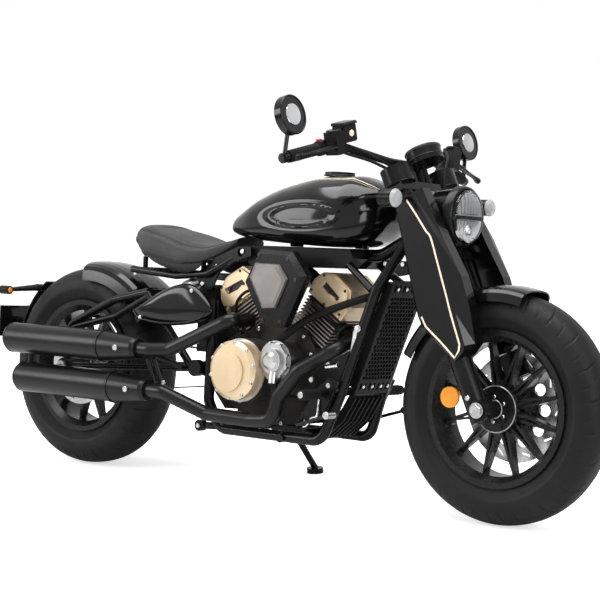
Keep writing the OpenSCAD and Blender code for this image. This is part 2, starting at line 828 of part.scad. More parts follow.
module front_exhaust() {
    parked() color(satin)
    bent_tube([[1031.5, -40, 497.2], [1076, -40, 468.4], [1082, -130, 444], [972, -158, 376], [905, -160, 296], [884, -160, 226],
               [800, -162, 219], [644, -176, 224], [500, -muffler_y, 278], [424, -muffler_y, 278]], 40, pipe_r);
}

module rear_exhaust() {
    parked() color(satin)
    bent_tube([[716, -74.4, 506], [716, -166, 506], [505, -196, 404], [440, -muffler_y, 400],
               [380, -muffler_y, 400]], 28, pipe_r);
}

// Columns: height, rear end, ring, front tip, all along X.
muffler_table = [[400, -190, 253, 399], [278, -136, 304, 443]];

module mufflers() {
    parked() color(satin) {
        for (m = muffler_table) {
            difference() {
                union() {
                    across_x(m[1] + 30, m[2], m[0], muffler_r, muffler_r);
                    across_x(m[1] + 18, m[1] + 30, m[0], muffler_r - 6, muffler_r);
                    across_x(m[1] + 12, m[1] + 18, m[0], muffler_r - 16, muffler_r - 6);
                    across_x(m[1] + 2, m[1] + 13, m[0], 27, 27);
                    across_x(m[2], m[3] - 14, m[0], muffler_r, muffler_r - 14);
                    across_x(m[3] - 14, m[3], m[0], muffler_r - 14, pipe_r + 5);
                    across_x(m[2] - 6, m[2] + 6, m[0], muffler_r + 2, muffler_r + 2);
                }
                across_x(m[1] - 5, m[1] + 60, m[0], 22, 22);
                across_x(m[3] - 20, m[3] + 5, m[0], pipe_r + 0.4, pipe_r + 0.4);
            }
        }
        difference() {
            rod([-110, -muffler_y + 30, 398], [-110, -muffler_y + 30, 280], 9);
            for (m = muffler_table) across_x(-200, 0, m[0], muffler_r - 3, muffler_r - 3);
        }
    }
}

module across_x(x0, x1, z, r0, r1) {
    rod([x0, -muffler_y, z], [x1, -muffler_y, z], r0, r1);
}

// Radiator

radiator_low = [1111, 0, 318];
radiator_len = 348;
radiator_tilt = 20.4;

module on_radiator() {
    over_front() translate(radiator_low) rotate([0, radiator_tilt, 0]) children();
}

module radiator() {
    parked() color(satin)
    difference() {
        on_radiator() {
            translate([-26, -radiator_half_w + 4, 14]) cube([26, 2 * radiator_half_w - 8, radiator_len - 28]);
            for (side = [-1, 1]) for (up = [70, 270])
                translate([-20, side * (radiator_half_w - 6), up]) rotate([-side * 90, 0, 0]) cylinder(h = 26, r = 7);
        }
        for (side = [-1, 1]) cradle_tube(side, 0.4);
    }
}

module radiator_grille() {
    parked() color(black) on_radiator() {
        pitch = cell + cell_wall;
        rows = floor((radiator_len - 86) / (pitch * 0.866));
        columns = floor((2 * radiator_half_w - 12) / pitch);
        rotate([90, 0, 90]) linear_extrude(5)
        difference() {
            translate([-radiator_half_w, 0]) square([2 * radiator_half_w, radiator_len]);
            for (j = [0:rows - 1]) for (i = [0:columns - 1 - (j % 2)])
                translate([(i - (columns - 1 - (j % 2)) / 2) * pitch, 45 + (j + 0.5) * pitch * 0.866])
                rotate(90) circle(d = cell / cos(30), $fn = 6);
            for (end = [12, radiator_len - 34]) for (i = [-3:3])
                translate([i * 21 - 4, end]) square([8, 22]);
        }
    }
}

module belly_guard() {
    parked() color(satin) {
        side_plate(-76, 76) polygon([[1096, 316], [1106, 312], [1062, 240], [1008, 192], [900, 166],
            [900, 172], [1002, 198], [1054, 246]]);
        for (i = [-3:3]) side_plate(i * 22 - 3, i * 22 + 3)
            polygon([[1104, 308], [1112, 304], [1070, 234], [1012, 184], [902, 160], [902, 168], [1004, 194], [1056, 244]]);
        difference() {
            for (side = [-1, 1]) rod([966, side * 60, 186], [966, side * 60, rail_z + 24], 8);
            rod([966, -cradle_y, rail_z + 24], [966, cradle_y, rail_z + 24], 10.4);
        }
    }
}

// Foot pegs with their brackets on the down tubes, and a pedal or shift lever inside each peg.
peg_x = 1050;
peg_z = 315;

module foot_controls() {
    parked() color(satin) both_sides() over_front()
    difference() {
        union() {
            side_plate(-142, -134) polygon([[1100, 350], [1070, 362], [1030, 330], [960, 226], [990, 214], [1060, 268]]);
            rod([1082, -104, 330], [1082, -138, 330], 11);
            rod([peg_x, -137, peg_z], [peg_x, -160, peg_z], 9);
            rod([peg_x, -158, peg_z], [peg_x, -242, peg_z], 13);
            rod([982, -138, 238], [992, -180, 224], 5.2);
            rod([989, -177, 223], [1112, -189, 262], 5);
            rod([1112, -172, 262], [1112, -206, 262], 9);
        }
        translate(-ahead) cradle_tube(-1, 0.4);
    }
}

// Fork

stem_x = -axle_lead - yoke_offset;
leg_x = -axle_lead;
top_yoke = 640;
low_yoke = 436;
yoke_t = 24;

module yoke_plate(z) {
    translate([0, 0, z]) linear_extrude(yoke_t)
    difference() {
        union() {
            translate([stem_x, 0]) circle(r = 32);
            polygon([[stem_x, -30], [stem_x, 30], [leg_x - 26, leg_y + 34], [leg_x + 26, leg_y + 34],
                     [leg_x + 30, 0], [leg_x + 26, -leg_y - 34], [leg_x - 26, -leg_y - 34]]);
        }
        for (side = [-1, 1]) translate([leg_x, side * leg_y]) circle(r = tube_r);
    }
}

module fork_yokes() {
    parked() color(satin) on_fork() {
        yoke_plate(top_yoke);
        yoke_plate(low_yoke);
        translate([stem_x, 0, low_yoke + 4]) cylinder(h = top_yoke - low_yoke + 8, r = stem_r);
    }
}

slider_top = 300;

module fork_tubes() {
    parked() color(satin) on_fork()
    for (side = [-1, 1]) translate([leg_x, side * leg_y, 0]) {
        translate([0, 0, slider_top - 100]) cylinder(h = fork_top - slider_top + 90, r = tube_r);
        translate([0, 0, top_yoke + yoke_t]) cylinder(h = fork_top - top_yoke - yoke_t, r = cap_r);
    }
}

module fork_sliders() {
    parked() color(satin) on_fork()
    for (side = [-1, 1]) difference() {
        union() {
            translate([leg_x, side * leg_y, -30]) cylinder(h = slider_top + 30, r = slider_r);
            translate([0, side * leg_y, 0]) rotate([90, 0, 0]) cylinder(h = 60, r = 27, center = true);
        }
        translate([leg_x, side * leg_y, slider_top - 100]) cylinder(h = 150, r = tube_r);
        translate([0, side * leg_y, 0]) rotate([90, 0, 0]) cylinder(h = 100, r = axle_r, center = true);
    }
}

module front_axle() {
    parked() color(steel) on_fork()
    difference() {
        union() {
            translate([0, 0, 0]) rotate([90, 0, 0]) cylinder(h = 2 * leg_y + 70, r = axle_r, center = true);
        }
        rotate([90, 0, 0]) cylinder(h = 3 * leg_y, r = axle_bore_r, center = true);
    }
}

// Outlines of a blade cover in the fork's frame, on its outer face and along its inner edge.
blade_outer = [[-22, 612], [32, 612], [56, 480], [48, 385], [36, 259], [30, 172], [18, 158],
               [-6, 150], [-36, 204], [-66, 262], [-68, 300], [-48, 440]];
blade_inner = [[-32, 622], [58, 622], [68, 465], [82, 351], [74, 262], [54, 168], [22, 150],
               [-8, 140], [-42, 200], [-78, 262], [-80, 300], [-64, 440]];

module fork_blades() {
    parked() color(black) on_fork() both_sides()
    difference() {
        loft([for (p = [[blade_inner, 87, 0], [blade_inner, blade_y - 26, 0], [blade_outer, blade_y - 3, -5], [blade_outer, blade_y, 0]])
            [for (q = inset(p[0], p[2])) [q[0], -p[1], q[1]]]]);
        translate([leg_x, -leg_y, 100]) cylinder(h = 560, r = slider_r + 0.5);
        translate([-100, -leg_y - 34.5, low_yoke - 0.3]) cube([117, 74.5, yoke_t + 0.6]);
    }
}

module front_fender() {
    parked() color(black) {
        fender(wheelbase, front_axle_z, front_tyre_r, 75, 40, 90 - 15, 90 + 66);
        on_fork() both_sides() translate([leg_x, -leg_y + slider_r + 0.3, 292]) rotate([90, 0, 0]) translate([0, 0, -6]) cylinder(h = 6, r = 8);
    }
}

module brake_caliper() {
    parked() color(satin) on_fork()
    difference() {
        translate([10, front_disc_y - 13, 70]) cube([70, 52, 74]);
        translate([0, front_disc_y, 0]) rotate([90, 0, 0])
        cylinder(h = disc_t + 10, r = front_disc_r + 6, center = true);
        translate([leg_x, leg_y, 0]) cylinder(h = 300, r = slider_r + 0.3);
    }
}

module reflectors() {
    parked() color([0.85, 0.45, 0.05]) on_fork() both_sides()
    difference() {
        union() {
            translate([-70, -leg_y - 18, 64]) rotate([90, 0, 0]) cylinder(h = 8, r = 28);
            rod([-72, -leg_y - 18, 64], [-30, -leg_y - 10, 64], 6);
        }
        translate([leg_x, -leg_y, 0]) cylinder(h = 120, r = slider_r + 0.3);
    }
}

headlight_x = 1408;
headlight_z = 828;

module headlight() {
    parked() color(black) {
        over_front() translate([headlight_x, 0, headlight_z]) rotate([0, 90, 0]) {
            translate([0, 0, -96]) cylinder(h = 17, r1 = 46, r2 = lens_r);
            translate([0, 0, -80]) cylinder(h = 72, r1 = lens_r, r2 = lens_r + 9);
        }
        on_fork() translate([5, 0, low_yoke + yoke_t + 0.3]) cylinder(h = 36, r = 12);
    }
}

module headlight_glass() {
    parked() color([0.8, 0.85, 0.9])
    over_front() translate([headlight_x - 8, 0, headlight_z]) rotate([0, 90, 0]) cylinder(h = 10, r1 = lens_r, r2 = lens_r - 6);
}

module front_signals() {
    parked() color([0.8, 0.8, 0.8]) over_front()
    for (side = [-1, 1]) {
        rod([1290, side * 237, 865], [1332, side * 237, 865], 24);
        rod([1306, side * (blade_y + 0.3), 868], [1306, side * 237, 866], 8);
    }
}

// End of the right handlebar, and the direction from there in along the grip.
bar_end = [1113, -bar_half, 960] + ahead;
bar_in = unit([13, 125, 34]);
grip_len = 118;
function bar_points() = [[1200, 10, 972] + ahead, [1198, -80, 974] + ahead, bar_end + 190 * bar_in, bar_end];

// Frame of the right grip: +Z in along the bar, +X forward, +Y down.
module on_bar() {
    ahead = unit(-cross([0, 0, 1], bar_in));
    down = cross(bar_in, ahead);
    multmatrix([[ahead[0], down[0], bar_in[0], bar_end[0]],
                [ahead[1], down[1], bar_in[1], bar_end[1]],
                [ahead[2], down[2], bar_in[2], bar_end[2]],
                [0, 0, 0, 1]])
    children();
}

module handlebar() {
    parked() color(satin) {
        both_sides() bent_tube(bar_points(), 40, bar_r);
        for (side = [-1, 1])
            difference() {
                rod(on_stem(top_yoke + yoke_t + 0.3) + [12, side * 44, 5.8], [1200, side * 44, 972] + ahead, 15);
            }
    }
}

module grips() {
    parked() color(rubber) both_sides() on_bar()
    difference() {
        cylinder(h = grip_len, r = 16.5);
        translate([0, 0, -1]) cylinder(h = grip_len + 2, r = bar_r + run_gap);
    }
}

module bar_controls() {
    parked() color(satin) both_sides() on_bar()
    difference() {
        union() {
            translate([0, 0, grip_len + 1]) cylinder(h = 38, r = 21);
            translate([0, -14, grip_len + 12]) cube([52, 24, 26]);
            translate([12, -40, grip_len + 16]) cube([46, 62, 34]);
            rod([44, 0, grip_len + 20], [52, 0, 20], 7, 6);
            rod([51.8, 0, 27], [50, 0, -6], 5, 9);
        }
        translate([0, 0, grip_len - 10]) cylinder(h = 64, r = bar_r + run_gap);
    }
}

module mirrors() {
    parked() color(black) both_sides() {
        on_bar() translate([0, 0, -22]) cylinder(h = 21.7, r = 14);
        rod(bar_end - 14 * bar_in, bar_end + [5, -6, 106], 6);
        rod(bar_end + [-5, -4, 108], bar_end + [15, -4, 112], mirror_r);
    }
}

module gauge() {
    parked() color(satin) {
        over_front() translate([1270, 0, 975]) rotate([0, -25, 0]) cylinder(h = 40, r = gauge_r);
        on_fork() translate([8, 0, top_yoke + yoke_t + 0.3]) cylinder(h = 59, r = 9);
    }
}

// Side stand

stand_tilt = 20;
stand_axis = [0, cos(stand_tilt), sin(stand_tilt)];
stand_pin_r = 8;
stand_lug = [700, cradle_y, rail_z];
stand_pivot = stand_lug + 32 * stand_axis;
foot_y = 250;
foot_z = (foot_y * sin(lean) - park_lift) / cos(lean);
stand_foot = [736, foot_y, foot_z];

module side_stand() {
    parked() color(satin)
    difference() {
        union() {
            rod(stand_pivot, stand_foot + [0, 0, 14], 10);
            translate(stand_foot) rotate([lean, 0, 0]) cylinder(h = 16, r = 26);
            rod(stand_pivot - 10 * stand_axis, stand_pivot + 10 * stand_axis, 17);
        }
        rod(stand_pivot - 20 * stand_axis, stand_pivot + 20 * stand_axis, stand_pin_r + run_gap);
    }
}

frame();
cradle();
seat_rails();
swingarm_left();
swingarm_right();
swingarm_pivot();
airbox();
battery_box();
rear_shock();
rear_axle();
fuel_tank();
fuel_cap();
seat();
side_covers();
rear_fender();
plate_arm();
number_plate();
rear_lamps();
crankcase();
front_cylinder();
rear_cylinder();
rocker_covers();
air_cleaner();
air_cleaner_badge();
clutch_cover();
water_pump();
left_covers();
drive_belt();
front_exhaust();
rear_exhaust();
mufflers();
radiator();
radiator_grille();
belly_guard();
foot_controls();
fork_yokes();
fork_tubes();
fork_sliders();
fork_blades();
front_axle();
front_fender();
brake_caliper();
reflectors();
headlight();
headlight_glass();
front_signals();
handlebar();
grips();
bar_controls();
mirrors();
gauge();
front_tyre();
front_wheel();
front_disc();
rear_tyre();
rear_wheel();
rear_disc();
rear_pulley();
side_stand();
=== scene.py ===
"""Looks of a bobber motorcycle that leans on its side stand in a pale studio."""

from math import copysign, cos, degrees, exp, hypot, pi, radians, sin, sqrt

import bmesh
import bpy
from mathutils import Matrix, Vector


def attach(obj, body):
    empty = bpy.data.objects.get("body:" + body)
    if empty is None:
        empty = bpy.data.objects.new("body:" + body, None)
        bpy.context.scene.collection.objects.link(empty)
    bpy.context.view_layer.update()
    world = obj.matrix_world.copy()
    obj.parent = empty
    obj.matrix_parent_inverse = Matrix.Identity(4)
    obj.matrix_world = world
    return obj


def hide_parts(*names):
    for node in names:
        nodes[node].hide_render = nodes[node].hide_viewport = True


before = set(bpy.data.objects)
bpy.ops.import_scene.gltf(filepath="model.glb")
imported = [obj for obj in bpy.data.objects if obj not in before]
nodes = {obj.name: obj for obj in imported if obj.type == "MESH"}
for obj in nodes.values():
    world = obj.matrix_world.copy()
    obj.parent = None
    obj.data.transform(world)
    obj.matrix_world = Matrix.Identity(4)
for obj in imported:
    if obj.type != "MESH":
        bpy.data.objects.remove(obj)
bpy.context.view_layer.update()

# Frame, cradle, seat rails, swingarm and stand: steel tube, bent and welded,
# under satin black powder coat with a faint orange peel. The machine is drawn
# upright in millimetres from its rear contact point, and leaned as it parks.
LEAN = radians(7)
PARKED = (
    Matrix.Translation((-0.742, -0.1304, 0.001409))
    @ Matrix.Rotation(-LEAN, 4, "X")
    @ Matrix.Scale(0.001, 4)
)


class Wire:
    """A shader value that can be used in sums and products."""

    def __init__(self, tree, socket):
        self.tree = tree
        self.socket = socket

    def _math(self, operation, *values):
        return self.tree.node("Math", {"operation": operation}, dict(enumerate(values)))

    def __add__(self, other):
        return self._math("ADD", self, other)

    __radd__ = __add__

    def __mul__(self, other):
        return self._math("MULTIPLY", self, other)

    __rmul__ = __mul__

    def either(self, other):
        """The larger of two values."""
        return self._math("MAXIMUM", self, other)

    def between(self, low, high):
        """0 below low, 1 above high and a smooth step from one to the other."""
        settings = {"interpolation_type": "SMOOTHSTEP"}
        return self.tree.node("MapRange", settings, {0: self, 1: low, 2: high, 3: 0.0, 4: 1.0})


class NodeTree:
    """The nodes of a material or of the world."""

    def __init__(self, owner):
        owner.use_nodes = True
        self.nodes = owner.node_tree.nodes
        self.links = owner.node_tree.links

    def node(self, kind, settings=None, inputs=None, output=0):
        made = self.nodes.new("ShaderNode" + kind)
        for key, value in (settings or {}).items():
            setattr(made, key, value)
        for key, value in (inputs or {}).items():
            self.join(made.inputs[key], value)
        return Wire(self, made.outputs[output])

    def join(self, target, value):
        if isinstance(value, Wire):
            self.links.new(value.socket, target)
        elif target.type == "RGBA":
            target.default_value = (*value, 1)
        else:
            target.default_value = value


class Paint(NodeTree):
    """A material with one Principled shader, built from nodes."""

    def __init__(self, name, **sockets):
        self.material = bpy.data.materials.new(name)
        super().__init__(self.material)
        self.set(**sockets)

    def set(self, **sockets):
        shader = self.nodes["Principled BSDF"]
        for key, value in sockets.items():
            self.join(shader.inputs[key.replace("_", " ")], value)

    def place(self):
        """Where a point is on the object, in metres."""
        return self.node("TexCoord", output=3)

    def noise(self, scale, detail=3.0, rough=0.5):
        """Cloudy noise from 0 to 1, with this many cells to the metre."""
        return self.node("TexNoise", {}, {"Vector": self.place(), "Scale": scale, "Detail": detail,
                                          "Roughness": rough})

    def cells(self, scale):
        return self.node("TexVoronoi", {"feature": "F1"}, {"Vector": self.place(), "Scale": scale})

    def mix(self, factor, first, second):
        return self.node("Mix", {"data_type": "RGBA"}, {0: factor, 6: first, 7: second}, output=2)

    def bump(self, height, distance, strength):
        inputs = {"Height": height, "Distance": distance, "Strength": strength}
        self.set(Normal=self.node("Bump", {}, inputs))

    def clouded(self, dark, light, rough, spread, grain, depth):
        """Colour and gloss that drift a little, over a fine grain."""
        drift = self.noise(7, 4, 0.6).between(0.3, 0.7)
        scuffs = self.noise(60, 5, 0.65).between(0.45, 0.75)
        self.set(Base_Color=self.mix(drift, dark, light), Roughness=rough + spread * scuffs)
        self.bump(self.noise(grain, 3), depth, 0.07)


def smooth(obj, angle=30):
    """Round surfaces shade smooth, and edges over the angle stay sharp."""
    mesh = obj.data
    surface = bmesh.new()
    surface.from_mesh(mesh)
    for edge in surface.edges:
        edge.smooth = len(edge.link_faces) == 2 and edge.calc_face_angle(0) < radians(angle)
    surface.to_mesh(mesh)
    surface.free()
    mesh.polygons.foreach_set("use_smooth", [True] * len(mesh.polygons))


def finish_with(paint, *names):
    """Puts one material on CAD nodes."""
    for name in names:
        smooth(nodes[name])
        nodes[name].data.materials.clear()
        nodes[name].data.materials.append(paint.material)


satin_black = Paint("satin_black", Specular_IOR_Level=0.16)
satin_black.clouded((0.0028, 0.0028, 0.0030), (0.0055, 0.0055, 0.0058), 0.24, 0.10, 900, 0.0003)
finish_with(satin_black, "frame", "cradle", "seat_rails", "swingarm_left", "swingarm_right",
            "swingarm_pivot", "plate_arm", "side_stand")

# Airbox and battery box: black moulded plastic that fills the frame under the
# tank and behind the engine.
black_plastic = Paint("black_plastic", Specular_IOR_Level=0.10)
black_plastic.clouded((0.0045, 0.0045, 0.0048), (0.0085, 0.0085, 0.009), 0.42, 0.14, 1600, 0.0003)
finish_with(black_plastic, "airbox", "battery_box")

# Bolts that hold the frame's brackets: plated screws with sockets, and plated
# hexagon heads on the lugs of the lower rails.


def facing(at, along):
    """A frame at a point whose Z looks along an axis."""
    return Matrix.Translation(at) @ Vector(along).to_track_quat("Z", "Y").to_matrix().to_4x4()


def whole_turn(steps):
    return [2 * pi * i / steps for i in range(steps)]


class Shape:
    """A mesh in the making, in the upright machine's millimetres."""

    def __init__(self):
        self.mesh = bmesh.new()

    def skin(self, rings, caps=True):
        """Joins rings of points, which all have the same count, into a surface."""
        rows = [[self.mesh.verts.new(point) for point in ring] for ring in rings]
        for low, high in zip(rows, rows[1:]):
            for i in range(len(low)):
                self.mesh.faces.new((low[i - 1], low[i], high[i], high[i - 1]))
        if caps:
            self.mesh.faces.new(rows[0][::-1])
            self.mesh.faces.new(rows[-1])
        return self

    def turn(self, profile, at, along, steps=32):
        """Turns pairs of distance and radius about an axis."""
        axis = facing(at, along)
        return self.skin([[axis @ Vector((r * cos(t), r * sin(t), out)) for t in whole_turn(steps)]
                          for out, r in profile])

    def hoop(self, at, along, radius, thick, steps=48, sides=10):
        """A ring of round wire about an axis."""
        axis = facing(at, along)
        rows = []
        for i in range(steps + 1):
            t = 2 * pi * i / steps
            row = []
            for s in whole_turn(sides):
                reach = radius + thick * cos(s)
                row.append(axis @ Vector((reach * cos(t), reach * sin(t), thick * sin(s))))
            rows.append(row)
        self.skin(rows, caps=False)
        bmesh.ops.remove_doubles(self.mesh, verts=self.mesh.verts, dist=0.001)
        return self

    def rod(self, start, end, radius, steps=20, edge=0.8):
        """A round bar with broken edges."""
        along = Vector(end) - Vector(start)
        return self.turn([(0, radius - edge), (edge, radius), (along.length - edge, radius),
                          (along.length, radius - edge)], start, along, steps)

    def screw(self, at, along, radius, tall, socket=True):
        """A screw head with its hexagon socket, or a hexagon head."""
        if socket:
            self.turn([(0, radius), (tall - 1, radius), (tall, radius - 1), (tall, radius * 0.56)], at,
                      along, 20)
            self.turn([(tall - 3, radius * 0.5), (tall + 0.2, radius * 0.5)], at, along, 6)
        else:
            self.turn([(0, radius * 1.25), (1.2, radius * 1.25)], at, along, 20)
            self.turn([(1, radius), (tall - 0.8, radius), (tall, radius - 0.9)], at, along, 6)

    def slab(self, outline, at, across, up, thick, edge=1.0):
        """A plate cut to an outline, with its edges broken."""
        u, v = Vector(across).normalized(), Vector(up).normalized()
        mid_u = sum(p[0] for p in outline) / len(outline)
        mid_v = sum(p[1] for p in outline) / len(outline)
        rings = []
        for lift, cut in ((0, edge), (edge, 0), (thick - edge, 0), (thick, edge)):
            ring = []
            for a, b in outline:
                share = 1 - cut / max(cut + 0.1, hypot(a - mid_u, b - mid_v))
                ring.append(Vector(at) + u * (mid_u + (a - mid_u) * share)
                            + v * (mid_v + (b - mid_v) * share) + u.cross(v) * lift)
            rings.append(ring)
        return self.skin(rings)

    def block(self, outline, base, thick, edge):
        """A plate across the Z axis, from its base up."""
        return self.slab(outline, (0, 0, base), (1, 0, 0), (0, 1, 0), thick, edge)

    def hose(self, points, radius, steps=12, per=8):
        """A round tube on one smooth line through the points."""
        line = smooth_line(points, per)
        ways = headings(line)
        side = ways[0].orthogonal().normalized()
        rings = []
        for spot, way in zip(line, ways):
            side = (side - way * side.dot(way)).normalized()
            over = way.cross(side)
            rings.append([spot + radius * (side * cos(t) + over * sin(t)) for t in whole_turn(steps)])
        return self.skin(rings)

    def band(self, line, normal, width, thick):
        """A flat stripe along a line, raised by its own thickness."""
        up = Vector(normal).normalized()
        rings = []
        for spot, way in zip(line, headings(line)):
            side = way.cross(up) * width / 2
            rings.append([spot - side, spot + side, spot + side + up * thick, spot - side + up * thick])
        return self.skin(rings)

    def moved(self, matrix):
        bmesh.ops.transform(self.mesh, matrix=matrix, verts=self.mesh.verts)
        return self

    def piece(self, name, body, paint, angle=30):
        """Leans the mesh, gives it its material and hangs it on its body."""
        bmesh.ops.recalc_face_normals(self.mesh, faces=self.mesh.faces)
        mesh = bpy.data.meshes.new(name)
        self.mesh.to_mesh(mesh)
        self.mesh.free()
        mesh.transform(PARKED)
        obj = bpy.data.objects.new(name, mesh)
        bpy.context.scene.collection.objects.link(obj)
        smooth(obj, angle)
        mesh.materials.append(paint.material)
        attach(obj, body)
        return obj


def headings(line):
    """The direction of a line at each of its points."""
    ahead = line[1:] + line[-1:]
    behind = line[:1] + line[:-1]
    return [(after - before).normalized() for after, before in zip(ahead, behind)]


def smooth_line(points, per=8):
    """A smooth line through all the points, without corners."""
    spots = [Vector(p) for p in points]
    spots = [2 * spots[0] - spots[1]] + spots + [2 * spots[-1] - spots[-2]]
    line = []
    for a, b, c, d in zip(spots, spots[1:], spots[2:], spots[3:]):
        for k in range(per):
            t = k / per
            line.append(0.5 * (2 * b + (c - a) * t + (2 * a - 5 * b + 4 * c - d) * t ** 2
                               + (3 * b - a - 3 * c + d) * t ** 3))
    return line + [spots[-2]]


plated = Paint("plated_screws", Metallic=1.0)
plated.clouded((0.50, 0.50, 0.50), (0.66, 0.66, 0.65), 0.18, 0.2, 900, 0.0001)
frame_screws = Shape()
for hand in (-1, 1):
    for x, z, y in ((590, 182, 145), (602, 660, 105.4), (548, 606, 105.4), (700, 708, 105.4),
                    (1210, 690, 5.2), (1150, 690, 5.2), (700, 405, 86)):
        frame_screws.screw((x, hand * y, z), (0, hand, 0), 7, 5)
    for x, z in ((1068, 340), (985, 232)):
        frame_screws.screw((x, hand * 142, z), (0, hand, 0), 6, 5, socket=False)
frame_screws.piece("frame_screws", "chassis", plated)

# Engine: aluminium castings. The finned cylinders are raw and a little brown from
# the heat and the case is black, with bolts round it and at the cylinders' feet.
cast_metal = Paint("cast_metal", Metallic=0.8)
cast_metal.clouded((0.15, 0.13, 0.11), (0.27, 0.24, 0.21), 0.40, 0.2, 1100, 0.0005)
finish_with(cast_metal, "front_cylinder", "rear_cylinder")
case_black = Paint("case_black", Specular_IOR_Level=0.14)
case_black.clouded((0.006, 0.0055, 0.005), (0.015, 0.013, 0.011), 0.36, 0.2, 900, 0.0005)
finish_with(case_black, "crankcase")

CRANK = Vector((838, 0, 325))
CASE_HALF = 86
HALF_VEE = radians(33)


def leaned_axes(lean):
    """Along something that leans forward, and across it to the front."""
    return Vector((sin(lean), 0, cos(lean))), Vector((cos(lean), 0, -sin(lean)))


case_bolts = Shape()
for hand in (-1, 1):
    for x, z in ((700, 262), (700, 330), (700, 440), (760, 482), (930, 470), (960, 420), (966, 350),
                 (940, 246), (860, 212), (780, 208)):
        case_bolts.screw((x, hand * CASE_HALF, z), (0, hand, 0), 6, 5)
for lean in (-HALF_VEE, HALF_VEE):
    away, flat = leaned_axes(lean)
    for ahead, aside in ((-58, -54), (-58, 54), (58, -54), (58, 54)):
        foot = CRANK + away * 176 + flat * ahead + Vector((0, aside, 0))
        case_bolts.screw(foot, away, 6.5, 9, socket=False)
case_bolts.piece("case_bolts", "chassis", plated)

# Rocker covers: cast aluminium in champagne lacquer, each with a black window
# plate held by two screws and a row of small black screws round its edge.
gold_metal = Paint("gold_metal", Metallic=0.55)
gold_metal.clouded((0.56, 0.43, 0.27), (0.66, 0.52, 0.35), 0.30, 0.08, 1300, 0.0001)
finish_with(gold_metal, "rocker_covers", "clutch_cover")
dark_metal = Paint("dark_metal", Specular_IOR_Level=0.25)
dark_metal.clouded((0.010, 0.010, 0.011), (0.022, 0.022, 0.024), 0.34, 0.15, 1200, 0.0003)
windows = Shape()
window_screws = Shape()
for lean in (-HALF_VEE, HALF_VEE):
    away, flat = leaned_axes(lean)
    for hand in (-1, 1):
        windows.slab([(-38, 342), (-32, 350), (30, 340), (38, 330), (39, 314), (14, 318), (-34, 326)],
                     CRANK + Vector((0, hand * 77.2, 0)), flat * hand, away, 3.5, 1.2)
        for ahead, out, aside, radius in (
                (-26, 338, 80.2, 6.5), (27, 328, 80.2, 6.5), (-62, 296, 83.5, 4.5), (0, 288, 83.5, 4.5),
                (62, 296, 83.5, 4.5), (40, 362, 83.5, 4.5), (-48, 356, 83.5, 4.5)):
            spot = CRANK + flat * ahead + away * out + Vector((0, hand * aside, 0))
            window_screws.screw(spot, (0, hand, 0), radius, 3)
windows.piece("rocker_windows", "chassis", dark_metal)
window_screws.piece("rocker_screws", "chassis", dark_metal)

# Clutch cover: the same lacquer over a raised round face, with a row of plated
# screws round the flange.


def screw_circle(shape, middle, circle, turns, radius, tall):
    """Screws on a circle, their heads to the machine's right."""
    x, y, z = middle
    for turn in turns:
        shape.screw((x + circle * cos(turn), y, z + circle * sin(turn)), (0, -1, 0), radius, tall)


clutch_trim = Shape()
screw_circle(clutch_trim, (748, -186, 360), 81, [2 * pi * (i + 0.35) / 10 for i in range(10)], 5.5, 6)
clutch_trim.piece("clutch_screws", "chassis", plated)

# Water pump: turned aluminium with a stepped face, held by six long screws
# beside the clutch. The rear spring's silver is the same finish.
silver_metal = Paint("silver_metal", Metallic=1.0)
silver_metal.clouded((0.34, 0.34, 0.34), (0.50, 0.50, 0.50), 0.28, 0.14, 800, 0.0001)
finish_with(silver_metal, "water_pump", "rear_shock")
PUMP_X, PUMP_Z = 870, 396
pump_trim = Shape()
pump_turns = [radians(turn) for turn in (20, 62, 105, 255, 300, 340)]
screw_circle(pump_trim, (PUMP_X, -140, PUMP_Z), 51, pump_turns, 5.5, 14)
pump_trim.turn([(0, 31), (2, 31), (2, 27), (3, 27), (3, 23), (5, 22)], (PUMP_X, -163, PUMP_Z), (0, -1, 0))
pump_trim.piece("pump_screws", "chassis", silver_metal)

# Air cleaner: a black box over the vee with a faceted insert of warm grey metal,
# held on by dark screws along its edge.
finish_with(satin_black, "air_cleaner", "left_covers")
badge_metal = Paint("badge_metal", Metallic=0.75)
badge_metal.clouded((0.13, 0.122, 0.115), (0.18, 0.17, 0.16), 0.34, 0.08, 1500, 0.0001)
finish_with(badge_metal, "air_cleaner_badge")
air_screws = Shape()
for x, z in ((944, 690), (975, 632), (862, 512), (926, 512), (806, 634), (840, 700)):
    air_screws.screw((x, -195.6, z), (0, -1, 0), 5.5, 3.5)
air_screws.piece("air_cleaner_screws", "chassis", dark_metal)

# Hoses and wires about the engine: dull black rubber. Two carry coolant to and
# from the radiator, and the thin ones are breathers and leads.
soft_rubber = Paint("soft_rubber", Specular_IOR_Level=0.10)
soft_rubber.clouded((0.0045, 0.0045, 0.0045), (0.009, 0.009, 0.009), 0.55, 0.15, 1500, 0.0003)
hoses = Shape()
hoses.hose([(880, -160, 334), (902, -150, 300), (950, -120, 290), (1010, -80, 300), (1066, -56, 318),
            (1098, -52, 330)], 11)
hoses.hose([(870, -128, 452), (900, -122, 478), (960, -112, 520), (1050, -92, 560), (1130, -70, 590),
            (1166, -56, 600)], 11)
hoses.hose([(938, -70, 585), (980, -100, 560), (1010, -104, 540), (1030, -92, 520), (1036, -70, 506)], 4.5)
hoses.hose([(750, -70, 600), (716, -98, 590), (690, -108, 560), (684, -104, 520), (694, -84, 484)], 4.5)
hoses.hose([(748, -112, 452), (736, -116, 470), (716, -112, 486), (690, -98, 510), (640, -80, 540),
            (594, -72, 560)], 5)
hoses.piece("engine_hoses", "chassis", soft_rubber)

